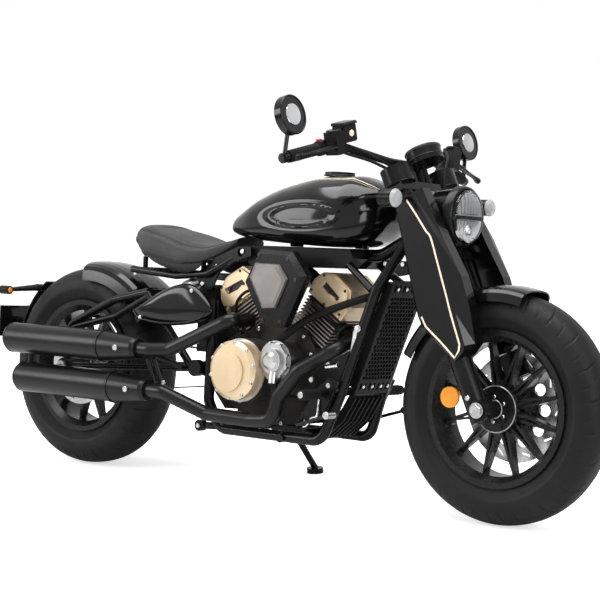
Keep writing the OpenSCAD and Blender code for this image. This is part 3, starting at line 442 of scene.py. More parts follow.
# Exhausts: steel tube under heat-proof matt black, with clamps at the mufflers
# and hangers that carry them from the frame.
exhaust_black = Paint("exhaust_black", Specular_IOR_Level=0.2)
exhaust_black.clouded((0.0035, 0.0035, 0.0035), (0.006, 0.0059, 0.0058), 0.28, 0.06, 1400, 0.0001)
finish_with(exhaust_black, "front_exhaust", "rear_exhaust", "mufflers")
MUFFLER_Y = -215
muffler_trim = Shape()
muffler_screws = Shape()
for height, tail, band, mouth, bolt in ((400, -160, 253, 397, 337), (278, -106, 304, 441, 387)):
    for x, radius, thick in ((band, 49.2, 1.6), (mouth, 29, 3), (tail, 47.6, 1.4)):
        muffler_trim.hoop((x, MUFFLER_Y, height), (1, 0, 0), radius, thick)
    muffler_screws.screw((bolt, MUFFLER_Y - 39, height), (0, -1, 0), 9, 6)
    muffler_screws.screw((bolt, MUFFLER_Y + 39, height), (0, 1, 0), 7, 5, socket=False)
for x in (420, 450):
    muffler_trim.rod((x, -196, 372), (x + 26, -188, 300), 8)
muffler_trim.rod((452, -196, 380), (520, -150, 352), 9)
muffler_trim.piece("muffler_trim", "chassis", exhaust_black)
muffler_screws.screw((484, -190, 304), (0, -1, 0), 7, 5)
muffler_screws.piece("muffler_screws", "chassis", plated)
port_clamps = Shape()
port_clamps.hoop((1046, -42, 487), (0.84, -0.2, -0.54), 25, 5)
port_clamps.hoop((655, -62, 487), (-0.84, -0.2, -0.54), 25, 5)
port_clamps.piece("port_clamps", "chassis", dark_metal)

# Radiator: a honeycomb core in a black frame between the down tubes, with a
# row of slots and plated screws at its top and bottom.
finish_with(black_plastic, "radiator_grille", "belly_guard")
core_metal = Paint("core_metal", Specular_IOR_Level=0.1)
core_metal.clouded((0.004, 0.004, 0.004), (0.008, 0.008, 0.008), 0.45, 0.15, 2000, 0.0004)
finish_with(core_metal, "radiator")
rise, face = leaned_axes(radians(20.4))
radiator_screws = Shape()
for out in (24, 324):
    for y in (-52, -10, 32, 66):
        radiator_screws.screw(Vector((1111, y, 318)) + rise * out + face * 4.6, face, 5.5, 4)
radiator_screws.piece("radiator_screws", "chassis", plated)

# Pedal rods by the down tube: a plated tag with its bolt, the brake light's
# switch and the pedal's bent spring wire, all on the right.
bracket = Shape()
bracket.slab([(0, 0), (10, 2), (22, 62), (15, 68), (8, 62)], (1120, -112, 436), (1, 0, 0), (0, 0, 1), 4)
bracket.screw((1143, -116, 505), (0, -1, 0), 8, 8, socket=False)
bracket.rod((1035, -112, 392), (1078, -112, 398), 9)
bracket.screw((1034, -112, 408), (0, -1, 0), 9, 10, socket=False)
bracket.screw((1010, -146, 352), (0, -1, 0), 6, 5, socket=False)
bracket.hose([(1040, -146, 300), (1040, -150, 262), (1038, -152, 250), (1020, -152, 244), (1004, -150, 222),
              (990, -148, 216)], 2.6)
bracket.piece("pedal_rods", "chassis", plated)

# Foot controls: black steel brackets, pegs with ribbed rubber and plated end
# screws, and a plated sleeve on each pedal.
finish_with(satin_black, "foot_controls")
PEG_X, PEG_Z = 1050, 315
peg_rubber = Shape()
peg_ends = Shape()
for hand in (-1, 1):
    for k in range(9):
        rib = (PEG_X, hand * (166 + 7.2 * k), PEG_Z)
        peg_rubber.turn([(0, 13.2), (1.2, 15.2), (5, 15.2), (6.2, 13.2)], rib, (0, hand, 0), 24)
    peg_rubber.turn([(0, 14), (6, 14), (8, 11)], (PEG_X, hand * 236, PEG_Z), (0, hand, 0), 24)
    peg_ends.screw((PEG_X, hand * 243, PEG_Z), (0, hand, 0), 9, 3)
    peg_ends.rod((1112, hand * 170, 262), (1112, hand * 208, 262), 10.5)
peg_rubber.piece("peg_rubbers", "chassis", soft_rubber)
peg_ends.piece("peg_ends", "chassis", plated)

# Fuel tank: pressed steel under deep black lacquer, an oval recess with a raised
# rim on each side, and two fine cream lines along the top of each flank.
gloss_black = Paint("gloss_black", Coat_Weight=0.12, Coat_Roughness=0.05, Specular_IOR_Level=0.22)
gloss_black.clouded((0.0020, 0.0020, 0.0022), (0.0034, 0.0034, 0.0037), 0.12, 0.04, 400, 0.00004)


def slope_at(table, j, column):
    """How fast a column rises at a row, level where it peaks."""
    before, here, after = table[max(j - 1, 0)], table[j], table[min(j + 1, len(table) - 1)]
    left = (here[column] - before[column]) / max(here[0] - before[0], 1e-6)
    right = (after[column] - here[column]) / max(after[0] - here[0], 1e-6)
    if before is here or after is here:
        return left + right
    return 0 if left * right <= 0 else 2 * left * right / (left + right)


def spline_rows(table, count):
    """More rows between those of a table, on smooth lines without overshoot."""
    places = [row[0] for row in table]
    rows = []
    for k in range(count + 1):
        spread = 0.5 - 0.5 * cos(pi * k / count)
        at = places[0] + (places[-1] - places[0]) * spread
        i = max(j for j in range(len(places) - 1) if places[j] <= at + 1e-6)
        gap = places[i + 1] - places[i]
        t = (at - places[i]) / gap
        row = [at]
        for column in range(1, len(table[0])):
            row.append((2 * t ** 3 - 3 * t * t + 1) * table[i][column]
                       + (3 * t * t - 2 * t ** 3) * table[i + 1][column]
                       + (t ** 3 - 2 * t * t + t) * gap * slope_at(table, i, column)
                       + (t ** 3 - t * t) * gap * slope_at(table, i + 1, column))
        rows.append(row)
    return rows


def rounded(value, power):
    return copysign(abs(value) ** (2 / power), value)


# The tank's sections: place, share of the half width, underside, top.
TANK = [(600, 0.16, 770, 792), (618, 0.4, 764, 812), (660, 0.6, 752, 838), (740, 0.82, 742, 880),
        (850, 0.96, 736, 916), (970, 1, 732, 937), (1060, 0.95, 735, 938), (1115, 0.78, 750, 922),
        (1152, 0.5, 778, 902), (1172, 0.26, 806, 886)]
TANK_HALF = 153


def tank_point(x, share, low, high, turn):
    """A point of the tank's skin, turn being its angle round from the left."""
    wide = low + 0.36 * (high - low)
    up = sin(turn)
    tall, power = (high - wide, 2.3) if up > 0 else (wide - low, 3.6)
    y = share * TANK_HALF * rounded(cos(turn), power)
    z = wide + tall * rounded(up, power)
    # The recess in the flank, with its raised rim.
    reach = hypot((x - 945 - 0.25 * (z - 820)) / 128, (z - 816) / 33)
    if abs(y) > 60:
        slope = min(1, max(0, (reach - 0.70) / 0.34))
        dip = 6.5 * (1 - slope * slope * (3 - 2 * slope))
        rim = 3.4 * exp(-((reach - 1.16) / 0.15) ** 2)
        y -= copysign(dip - rim, y)
    return Vector((x, y, z))


tank_rows = spline_rows(TANK, 210)
tank = Shape()
tank.skin([[tank_point(*row, turn) for turn in whole_turn(216)] for row in tank_rows])
for x in (820, 1060):
    tank.rod((x, 0, 729.9), (x, 0, 750), 20)
tank_shell = tank.piece("tank_shell", "chassis", gloss_black, 50)
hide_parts("fuel_tank")

cream_line = Paint("cream_line")
cream_line.clouded((0.70, 0.58, 0.42), (0.78, 0.66, 0.50), 0.25, 0.06, 900, 0.00005)
tank_lines = Shape()
for hand in (-1, 1):
    for angle, width in ((62, 3.4), (57, 1.2)):
        path = []
        for row in tank_rows[12:-6:3]:
            turn = radians(angle) + 0.10 * sin((row[0] - 620) / 540 * pi)
            path.append(tank_point(*row, turn if hand > 0 else pi - turn) + Vector((0, 0, 0.15)))
        tank_lines.band(path, (0, hand * 0.45, 1), width, 0.5)
tank_lines.piece("tank_lines", "chassis", cream_line)

# Filler cap: a low black screw cap on a raised neck ring, with a bar across it
# to turn it by.
finish_with(satin_black, "fuel_cap")
CAP_X = 968
cap_ring = Shape()
cap_ring.hoop((CAP_X, 0, 940.5), (0, 0, 1), 44, 2.6)
cap_ring.hoop((CAP_X, 0, 947), (0, 0, 1), 30, 1.5)
cap_ring.slab([(-26, -4), (26, -4), (26, 4), (-26, 4)], (CAP_X, 0, 946.4), (1, 0, 0), (0, 1, 0), 4, 1.5)
cap_ring.piece("cap_ring", "chassis", dark_metal)

# Seat: leather over foam, a dished top panel joined to a side panel by a sewn
# seam, and a welt above the black moulded pan. Drawn as it sits, taut and full.
seat_hide = Paint("seat_hide", Specular_IOR_Level=0.2)
faded = seat_hide.noise(9, 4).between(0.3, 0.75)
seat_hide.set(Base_Color=seat_hide.mix(faded, (0.020, 0.020, 0.021), (0.032, 0.031, 0.031)),
              Roughness=0.44 + 0.16 * seat_hide.noise(90, 4))
grain, creases = seat_hide.cells(520), seat_hide.noise(28, 5, 0.6)
seat_hide.bump(0.55 * grain + creases, 0.0010, 0.4)
# The seat's sections: place, share of the half width, underside, widest level, top.
SEAT = [(182, 0.1, 738, 746, 754), (205, 0.3, 716, 738, 772), (240, 0.47, 694, 726, 783),
        (290, 0.72, 668, 712, 784), (350, 0.9, 646, 700, 776), (420, 0.98, 630, 690, 760),
        (490, 1, 620, 680, 738), (550, 0.9, 634, 682, 730), (600, 0.6, 680, 706, 740),
        (640, 0.42, 722, 736, 754)]
SEAT_HALF = 150
TOP_SEAM, WELT = 38, -6


def seat_point(x, share, low, wide, high, turn):
    """A point of the seat's skin, turn being its angle round from the left."""
    up = sin(turn)
    tall, power = (high - wide, 2.4) if up > 0 else (wide - low, 3)
    y = share * SEAT_HALF * rounded(cos(turn), power)
    z = wide + tall * rounded(up, power)
    if up > 0:
        # A puffed panel on both sides of the sewn seam, and a dish in the middle.
        off = abs(90 - abs(90 - degrees(turn)) - TOP_SEAM)
        swell = 3.0 * exp(-((off - 12) / 9) ** 2) - 3.6 * exp(-(off / 2.6) ** 2)
        dish = -5.0 * share * exp(-((degrees(turn) - 90) / 26) ** 2) if 330 < x < 600 else 0
        edge = min(1, (x - 182) / 60, (640 - x) / 40)
        out = Vector((0, cos(turn), max(0.2, up)))
        return Vector((x, y, z)) + out * swell * edge + Vector((0, 0, dish * edge))
    if abs(y) < 126 and 182 < x < 630:
        z = max(z, min(682, wide - 2) if low < 682 else low)
    return Vector((x, y, z))


seat_rows = spline_rows(SEAT, 110)
cushion = Shape()
cushion.skin([[seat_point(*row, turn - pi / 2) for turn in whole_turn(160)] for row in seat_rows])
seat_cushion = cushion.piece("seat_cushion", "chassis", seat_hide, 60)
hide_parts("seat")
welt = Shape()
path = [seat_point(*row, radians(WELT)) for row in seat_rows[100:4:-4]]
around = [Vector((p.x, -p.y, p.z)) for p in reversed(path)]
welt.hose([p + Vector((0, copysign(1, p.y), 0)) for p in path + around], 3.0, 8, 3)
welt.piece("seat_welt", "chassis", satin_black)
stitches = Shape()
for hand in (-1, 1):
    turn = radians(TOP_SEAM - 2.4)
    if hand < 0:
        turn = pi - turn
    path = smooth_line([seat_point(*row, turn) for row in seat_rows[8:102:3]], 5)
    out = Vector((0, hand * 0.8, 0.6)) * 0.9
    for start, end in zip(path[:-2:3], path[1::3]):
        stitches.rod(start + out, start + (end - start) * 0.8 + out, 0.8, steps=6, edge=0.2)
thread = Paint("thread")
thread.clouded((0.05, 0.05, 0.05), (0.10, 0.10, 0.10), 0.6, 0.1, 3000, 0.0001)
stitches.piece("seat_stitches", "chassis", thread)

# Side covers and fenders: pressed steel in the tank's lacquer, rolled at the
# edges and screwed to their brackets.
finish_with(gloss_black, "rear_fender", "front_fender", "number_plate")
CORNERS = [(300, 510), (340, 484), (460, 474), (590, 492), (632, 524), (596, 572), (536, 604), (440, 584)]
cover_rim = [Vector((p[0], 0, p[1])) for p in smooth_line(CORNERS + CORNERS[:1], 8)[:-1]]


def cover_ring(rim, share, out, lift):
    """The cover's rim, drawn in to its middle and moved out from the machine."""
    middle = Vector((460, 0, 540))
    return [middle + (p - middle) * share + Vector((0, out, lift)) for p in rim]


for hand, label in ((-1, "right"), (1, "left")):
    cover = Shape()
    cover.skin([cover_ring(cover_rim, share, hand * out, lift) for out, share, lift in (
        (144.4, 0.95, 0), (146, 0.985, 0), (151, 1.0, 0), (156, 0.985, 0), (162, 0.93, 1),
        (167, 0.84, 2), (170.5, 0.72, 4), (172.5, 0.55, 6), (173.5, 0.3, 8))])
    side_cover = cover.piece(label + "_side_cover", "chassis", gloss_black, 55)
    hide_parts("side_covers")
    edge = Shape()
    edge.hose(cover_ring(cover_rim[2:34:2], 0.90, hand * 164.2, 1), 1.6, 8, 4)
    edge.piece(label + "_cover_line", "chassis", satin_black)
body_screws = Shape()
for hand in (-1, 1):
    for x, z in ((352, 494), (560, 584)):
        body_screws.screw((x, hand * 166, z), (0, hand, 0), 6, 6)
    body_screws.screw((262, hand * 102, 626), (0, hand, 0), 6, 5)
body_screws.piece("body_screws", "chassis", plated)

# Rear lamps and the plate bracket: black stalks with orange lenses, and a plain
# black plate held by two screws.
finish_with(black_plastic, "rear_lamps")
amber_plastic = Paint("amber_plastic", Specular_IOR_Level=0.5)
amber_plastic.clouded((0.56, 0.19, 0.010), (0.68, 0.26, 0.02), 0.12, 0.06, 700, 0.0004)
lamp_lenses = Shape()
for hand in (-1, 1):
    lamp_lenses.turn([(0, 13), (3, 13), (7, 10.5), (9, 5), (9.5, 0.5)], (-295, hand * 158, 550), (-1, 0, 0))
    lamp_lenses.turn([(0, 9), (1.5, 9), (3, 7)], (-256.5, hand * 158, 550), (1, 0, 0))
lamp_lenses.piece("rear_lenses", "chassis", amber_plastic)
plate_screws = Shape()
for hand in (-1, 1):
    plate_screws.screw((-390, hand * 60, 480), (-1, 0, 0), 6, 4)
plate_screws.piece("plate_screws", "chassis", plated)

# Tyres: black rubber with a dull sidewall, fine rings by the rim, and slanted
# rain grooves that start at the shoulder and hook towards the middle.
WHEELBASE, FRONT_AXLE, REAR_AXLE = 1560, 314, 318
BEAD, FLANGE = 203, 213
SHOULDER = FLANGE + 32
GROOVES = 22
tyre_rubber = Paint("tyre_rubber", Specular_IOR_Level=0.14)
tyre_rubber.clouded((0.0055, 0.0055, 0.0055), (0.0095, 0.0095, 0.0092), 0.50, 0.14, 700, 0.0005)


def groove_depth(turn, across):
    """Depth from 0 to 1 of the tread, across being -1 to 1 over the crown."""
    pitch = 2 * pi / GROOVES
    stagger = 0.25 if across > 0 else 0
    depth = 0
    for offset, length, middle in ((0.0, 1.0, 0.5), (0.5, 0.55, 0.45)):
        along = (0.93 - abs(across)) / (0.75 * length)
        if 0 < along < 1:
            off = abs((turn / pitch + offset + stagger) % 1 - middle - 0.30 * along ** 1.6) * pitch
            half_width = 0.0105 * (1 - 0.75 * along)
            depth = max(depth, min(1, max(0, (half_width - off) / 0.004)))
    return depth


def tyre_profile(radius, width):
    """Pairs of radius and place across, from bead to bead over the crown."""
    bead = [(BEAD + 0.6, 0.36 * width), (FLANGE + 1.5, 0.36 * width + 0.6)]
    corners = [(r, -y) for r, y in bead]
    for k in range(57):
        t = pi * (k / 56 - 0.5)
        reach = SHOULDER + (radius - SHOULDER) * max(0, cos(t)) ** 0.85
        corners.append((reach, width / 2 * rounded(sin(t), 2.5)))
    corners += bead[::-1]
    profile = []
    for (r0, y0), (r1, y1) in zip(corners, corners[1:]):
        cuts = 5 if r0 < SHOULDER and r1 < SHOULDER + 1 and abs(y0) > 0.3 * width else 1
        profile += [(r0 + (r1 - r0) * k / cuts, y0 + (y1 - y0) * k / cuts) for k in range(cuts)]
    return profile + corners[-1:]


def make_tyre(name, node, x, axle, radius, width, body):
    """Sweeps the profile round the axle, with grooves and two rings by the rim."""
    profile = tyre_profile(radius, width)
    rings = []
    for turn in whole_turn(30 * GROOVES):
        ring = []
        for r, y in profile:
            reach = r - (3.6 * groove_depth(turn, y / (width / 2)) if r > SHOULDER else 0)
            swell = sum(0.8 * exp(-((r - FLANGE - ring_at) / 1.4) ** 2) for ring_at in (9, 22))
            ring.append(Vector((x + reach * cos(turn), y + copysign(swell, y),
                                axle + reach * sin(turn))))
        rings.append(ring)
    rings.append(rings[0])
    tyre = Shape()
    tyre.skin(rings, caps=False)
    bmesh.ops.remove_doubles(tyre.mesh, verts=tyre.mesh.verts, dist=0.01)
    made = tyre.piece(name, body, tyre_rubber, 40)
    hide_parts(node)


make_tyre("front_tyre_tread", "front_tyre", WHEELBASE, FRONT_AXLE, 314, 134, "front_wheel")
make_tyre("rear_tyre_tread", "rear_tyre", 0, REAR_AXLE, 318, 170, "rear_wheel")

# Wheels: cast aluminium in satin black, with a valve, hub bolts, a slotted hub
# flange with a bright lip, and silver axle ends.
wheel_black = Paint("wheel_black", Specular_IOR_Level=0.22)
wheel_black.clouded((0.0045, 0.0045, 0.0048), (0.0085, 0.0085, 0.0088), 0.26, 0.10, 500, 0.0001)
finish_with(wheel_black, "front_wheel", "rear_wheel")
finish_with(dark_metal, "rear_pulley")
finish_with(silver_metal, "front_axle", "rear_axle")
finish_with(soft_rubber, "drive_belt")


def hub_parts(x, axle, face, hub_face, flange, body, label):
    """The slotted flange, its lip and its bolts on the right of a hub."""
    lip = Shape()
    lip.hoop((x, face - 0.2, axle), (0, -1, 0), flange - 1.5, 1.6)
    lip.hoop((x, hub_face - 0.2, axle), (0, -1, 0), 24, 1.8)
    slots = Shape()
    for turn in whole_turn(6):
        out = Vector((cos(turn), 0, sin(turn)))
        along = Vector((-sin(turn), 0, cos(turn)))
        middle = Vector((x, face, axle)) + out * (flange - 11)
        slots.slab([(-7, -5), (7, -5), (7, 5), (-7, 5)], middle, along, out, 1.2, 0.6)
    bolts = Shape()
    screw_circle(bolts, (x, hub_face, axle), 34, [turn + pi / 6 for turn in whole_turn(6)], 4.5, 4)
    valve = Vector((cos(radians(200)), 0, sin(radians(200))))
    bolts.rod(Vector((x, -6, axle)) + 186 * valve, Vector((x, -14, axle)) + 158 * valve, 3)
    lip.piece(label + "_hub_lip", body, silver_metal)
    slots.piece(label + "_hub_slots", body, soft_rubber)
    bolts.piece(label + "_hub_bolts", body, plated)


hub_parts(WHEELBASE, FRONT_AXLE, -48, -54, 64, "front_wheel", "front")
hub_parts(0, REAR_AXLE, -60, -66, 76, "rear_wheel", "rear")

# Brake discs: ground steel bands on dark carriers, with plated rivets between
# the two. The caliper is satin black.
disc_steel = Paint("disc_steel", Metallic=1.0)
disc_steel.clouded((0.42, 0.42, 0.43), (0.58, 0.58, 0.58), 0.26, 0.14, 600, 0.00005)
finish_with(disc_steel, "front_disc", "rear_disc")
for x, axle, y, hand, big, body, label in (
        (WHEELBASE, FRONT_AXLE, 59, 1, 78, "front_wheel", "front"),
        (0, REAR_AXLE, -71, -1, 62, "rear_wheel", "rear")):
    carrier = Shape()
    carrier.turn([(0, big), (2, big), (2.6, big - 2), (2.6, 32), (0, 32)], (x, y, axle), (0, hand, 0), 48)
    carrier.piece(label + "_disc_carrier", body, dark_metal)
    rivets = Shape()
    for turn in whole_turn(8):
        out = Vector((cos(turn + pi / 8), 0, sin(turn + pi / 8)))
        rivets.screw(Vector((x, y + hand * 2.4, axle)) + (big - 8) * out, (0, hand, 0), 5, 3)
    rivets.piece(label + "_disc_rivets", body, plated)
finish_with(satin_black, "brake_caliper")

# Fork: satin black yokes, legs and sliders under gloss blade covers, whose
# outer faces carry a champagne line that hooks round their lower ends.
RAKE = radians(25.6)
FORK = Matrix.Translation((WHEELBASE, 0, FRONT_AXLE)) @ Matrix.Rotation(-RAKE, 4, "Y")
finish_with(satin_black, "fork_yokes", "fork_tubes", "fork_sliders", "handlebar")
finish_with(gloss_black, "fork_blades", "headlight", "mirrors")
blade_lines = Shape()
for hand in (-1, 1):
    front_edge = [(14, 604), (26, 560), (40, 500), (47, 476), (41, 400), (34, 320), (28, 259), (23, 178)]
    hook = [(14, 163), (-5, 151), (-29, 205), (-58, 262), (-61, 292)]
    path = smooth_line([(a, hand * 152.05, b) for a, b in front_edge], 5)
    path += [Vector((a, hand * 152.05, b)) for a, b in hook]
    blade_lines.band(path, (0, hand, 0), 5.2, 0.6)
blade_lines.moved(FORK).piece("blade_lines", "fork", cream_line)
LEG_X, LEG_Y = -13.5, 110
fork_caps = Shape()
fork_screws = Shape()
for hand in (-1, 1):
    for height, profile, steps in ((690, [(0, 40), (2, 43), (5, 43), (7, 40)], 48),
                                   (713, [(0, 26), (2, 26), (4, 23), (4, 12)], 6),
                                   (292, [(0, 33), (8, 33), (10, 30)], 40)):
        fork_caps.turn(profile, (LEG_X, hand * LEG_Y, height), (0, 0, 1), steps)
    fork_caps.hoop((LEG_X, hand * LEG_Y, 664), (0, 0, 1), 43.2, 1.3)
    for height in (40, -4):
        fork_screws.screw((LEG_X, hand * (LEG_Y + 31), height), (0, hand, 0), 7, 5)
    fork_screws.screw((0, hand * 144, 0), (0, hand, 0), 17, 8, socket=False)
fork_caps.moved(FORK).piece("fork_caps", "fork", satin_black)
fork_screws.screw((-53.5, 0, 664), (0, 0, 1), 17, 10, socket=False)
for z in (84, 130):
    fork_screws.screw((60, 93, z), (0, 1, 0), 6.5, 5)
fork_screws.moved(FORK).piece("fork_screws", "fork", plated)

# Headlight: a deep gloss shell with a satin bezel, two banks of silvered facets
# on both sides of a dark bar, and a domed clear lens.
BULB = Vector((1408, 0, 828))
bezel = Shape()
bezel.turn([(-22, 82.6), (-20, 85), (-6, 85), (1, 82), (4, 77.5), (2, 74), (-8, 74)], BULB, (1, 0, 0), 96)
bezel.piece("headlight_bezel", "fork", satin_black)
mirror_silver = Paint("mirror_silver", Metallic=1.0)
mirror_silver.clouded((0.46, 0.47, 0.49), (0.62, 0.63, 0.64), 0.12, 0.08, 300, 0.0001)
facets = Shape()
for k in range(9):
    left = -63 + 14 * k
    right = left + 12.5
    arch = min(66, sqrt(max(0, 67 ** 2 - max(abs(left), abs(right)) ** 2)))
    for bottom, top in ((6, arch), (-arch, -10)):
        if top - bottom > 8:
            thick = 2 + 3.5 * (1 - (k - 4) ** 2 / 16)
            facets.slab([(left, bottom), (right, bottom), (right, top), (left, top)],
                        BULB + Vector((-1, 0, 0)), (0, 1, 0), (0, 0, 1), thick, 1.8)
facets.turn([(0, 16), (6, 15), (10, 9), (11.5, 0.5)], BULB + Vector((1, 0, -36)), (1, 0, 0), 32)
facets.piece("headlight_reflectors", "fork", mirror_silver)
bar = Shape()
bar.slab([(-70, -6), (70, -6), (70, 4), (-70, 4)], BULB + Vector((0, 0, -2)), (0, 1, 0), (0, 0, 1), 9, 2)
bar.hoop(BULB + Vector((2, 0, 0)), (1, 0, 0), 70, 3, 72)
bar.piece("headlight_bar", "fork", black_plastic)
lens_glass = Paint("lens_glass", Transmission_Weight=1.0, IOR=1.3, Specular_IOR_Level=0.4)
lens_glass.set(Base_Color=lens_glass.mix(lens_glass.noise(20, 2), (0.93, 0.94, 0.95), (0.98, 0.98, 0.98)),
               Roughness=0.02 + 0.04 * lens_glass.noise(60, 3))
profile = [(8, 73.4), (13, 72)]
for angle in range(80, -1, -8):
    t = radians(angle)
    profile.append((13 + 10 * cos(t), 72 * sin(t) + 0.01))
dome = Shape()
dome.turn(profile, BULB + Vector((-2, 0, 0)), (1, 0, 0), 96)
dome.piece("headlight_lens", "fork", lens_glass, 60)
finish_with(mirror_silver, "headlight_glass")

# Turn signals: black stalks and shells, each with a domed clear lens over a
# small silvered bowl.
finish_with(satin_black, "front_signals")
signal_glass = Shape()
signal_bowl = Shape()
for hand in (-1, 1):
    spot = Vector((1332, hand * 237, 865))
    signal_bowl.turn([(0, 21), (2, 21), (3.5, 17), (2.5, 8)], spot, (1, 0, 0))
    signal_glass.turn([(0.5, 24), (6.5, 24), (11.5, 20), (14.5, 12), (15.5, 0.5)], spot, (1, 0, 0), 48)
    signal_glass.hoop(spot + Vector((4, 0, 0)), (1, 0, 0), 24, 1.4)
signal_bowl.piece("signal_bowls", "fork", mirror_silver)
signal_clear = Paint("signal_clear", Specular_IOR_Level=0.5, Alpha=0.55)
signal_clear.clouded((0.40, 0.41, 0.42), (0.60, 0.60, 0.60), 0.08, 0.08, 260, 0.0012)
signal_glass.piece("signal_lenses", "fork", signal_clear)

# Side reflectors: moulded orange plastic in the rear lamps' finish, one low on
# each side of the fork.
finish_with(amber_plastic, "reflectors")

# Gauge: a black drum with a glossy face under a raised rim, with cream ticks and
# a pointer on its hub.
finish_with(satin_black, "gauge")
DIAL = Matrix.Translation((1270, 0, 975)) @ Matrix.Rotation(radians(-25), 4, "Y")
dial_rim = Shape()
dial_rim.turn([(34, 51.3), (36, 53), (40, 53), (43, 50.5), (43, 47.5), (40, 46.5)],
              (0, 0, 0), (0, 0, 1), 72)
dial_rim.hoop((0, 0, 14), (0, 0, 1), 51.4, 1.2)
dial_rim.moved(DIAL).piece("gauge_rim", "fork", dark_metal)
dial = Shape()
dial.turn([(40, 47), (40.8, 47)], (0, 0, 0), (0, 0, 1), 72)
dial.moved(DIAL).piece("gauge_face", "fork", gloss_black)
ticks = Shape()
for i in range(25):
    turn = radians(-150 + 300 * i / 24)
    out, middle = Vector((-cos(turn), sin(turn), 0)), Vector((0, 0, 41.2))
    ticks.rod(middle + out * (36 if i % 3 else 32), middle + out * 42, 0.7, steps=6, edge=0.2)
ticks.rod((0, 0, 42), (20, 24, 42), 1.0, steps=8, edge=0.3)
ticks.turn([(40.5, 5), (43, 4.5), (43.5, 3)], (0, 0, 0), (0, 0, 1), 24)
ticks.moved(DIAL).piece("gauge_ticks", "fork", cream_line)

# Handlebar ends: rubber grips with ribs, clamps, switch housings with their
# buttons, blade levers with ball ends, and a fluid box on the right.
finish_with(soft_rubber, "grips")
finish_with(black_plastic, "bar_controls")


def bar_frame(hand):
    """From along the grip, forward and down to the machine, for one side."""
    inward = Vector((13, 125, 34)).normalized()
    forward = -Vector((0, 0, 1)).cross(inward).normalized()
    down = inward.cross(forward)
    at = Matrix((forward, down, inward)).transposed().to_4x4()
    at.translation = Vector((1113, -425, 960))
    return Matrix.Scale(-hand, 4, (0, 1, 0)) @ at


for hand, label in ((-1, "right"), (1, "left")):
    at = bar_frame(hand)
    ribs = Shape()
    for k in range(11):
        ribs.hoop((0, 0, 8 + 9.5 * k), (0, 0, 1), 16.5, 0.9, 32, 6)
    ribs.turn([(114, 16.6), (115, 19), (119, 19), (119, 12)], (0, 0, 0), (0, 0, 1), 40)
    ribs.moved(at).piece(label + "_grip_ribs", "fork", soft_rubber)
    lever = Shape()
    lever.hose([(48, 0, 146), (56, 1, 120), (56, 2, 84), (53, 2, 40), (52, 1, 4), (50, 0, -12)], 5.2, 12, 5)
    lever.turn([(-8, 1), (-7, 6), (-3, 9), (2, 9), (6, 6), (7, 2)], (50, 0, -12), (0, 0, 1), 24)
    lever.moved(at).piece(label + "_lever", "fork", satin_black)
    blocks = Shape()
    blocks.block([(-4, -17), (17, -20), (20, 14), (-2, 19), (-19, 10), (-19, -9)], 121.5, 36, 3)
    blocks.block([(18, -38), (52, -38), (56, -34), (56, 18), (52, 22), (18, 22)], 137, 30, 3)
    blocks.turn([(0, 22), (5, 22), (7, 20)], (36, -39, 152), (0, -1, 0), 40)
    blocks.moved(at).piece(label + "_switches", "fork", satin_black)
    details = Shape()
    for spot in ((26, -40, 142), (48, -40, 164), (26, -40, 164), (48, -40, 142)):
        details.screw(spot, (0, -1, 0), 3.2, 2.5)
    details.screw((0, 0, -23), (0, 0, -1), 11, 4)
    details.moved(at).piece(label + "_bar_screws", "fork", dark_metal)
fluid = Shape()
fluid.block([(14, -54), (54, -54), (58, -50), (58, -8), (54, -4), (14, -4), (10, -8), (10, -50)], 170, 50, 4)
fluid.block([(12, -60), (56, -60), (60, -56), (60, -52), (10, -52)], 167, 56, 2)
fluid.block([(-14, -13), (14, -15), (20, -6), (20, 6), (14, 14), (-14, 13)], 158, 15, 2)
fluid.block([(0, -14), (24, -14), (24, 6), (0, 6)], 168, 22, 2)
fluid.moved(bar_frame(-1)).piece("fluid_box", "fork", satin_black)
sight = Shape()
sight.turn([(0, 9), (1.5, 9), (2.5, 7)], (57.6, -28, 196), (1, 0, 0), 32)
sight.moved(bar_frame(-1)).piece("fluid_window", "fork", cream_line)
button_red = Paint("button_red", Specular_IOR_Level=0.5)
button_red.clouded((0.55, 0.012, 0.02), (0.68, 0.03, 0.035), 0.3, 0.1, 900, 0.0002)
button = Shape()
button.slab([(-7, -5), (7, -5), (7, 5), (-7, 5)], (-6, -20, 132), (1, 0, 0), (0, 0, 1), 5, 1.5)
button.moved(bar_frame(-1)).piece("stop_button", "fork", button_red)

# Mirrors: round black shells on short stems, silvered glass behind and a
# polished disc in front.
mirror_face = Shape()
mirror_front = Shape()
mirror_rims = Shape()
for hand in (-1, 1):
    back = Vector((1108, hand * 429, 1068))
    along = Vector((20, 0, 4)).normalized()
    mirror_face.turn([(0, 49), (1.4, 49), (1.8, 48)], back - along * 0.4, -along, 72)
    mirror_front.turn([(0, 30), (2, 29), (2.6, 27)], back + along * 20.4, along, 64)
    mirror_rims.hoop(back - along * 0.2, along, 51.4, 2.4, 72)
    mirror_rims.hoop(back + along * 20.6, along, 51, 2.6, 72)
    mirror_rims.turn([(0, 9), (10, 8), (16, 6.5)], Vector((1107, hand * 428, 946)), (0.05, 0, 1), 24)
mirror_face.piece("mirror_glass", "fork", mirror_silver)
mirror_front.piece("mirror_discs", "fork", mirror_silver)
mirror_rims.piece("mirror_rims", "fork", satin_black)

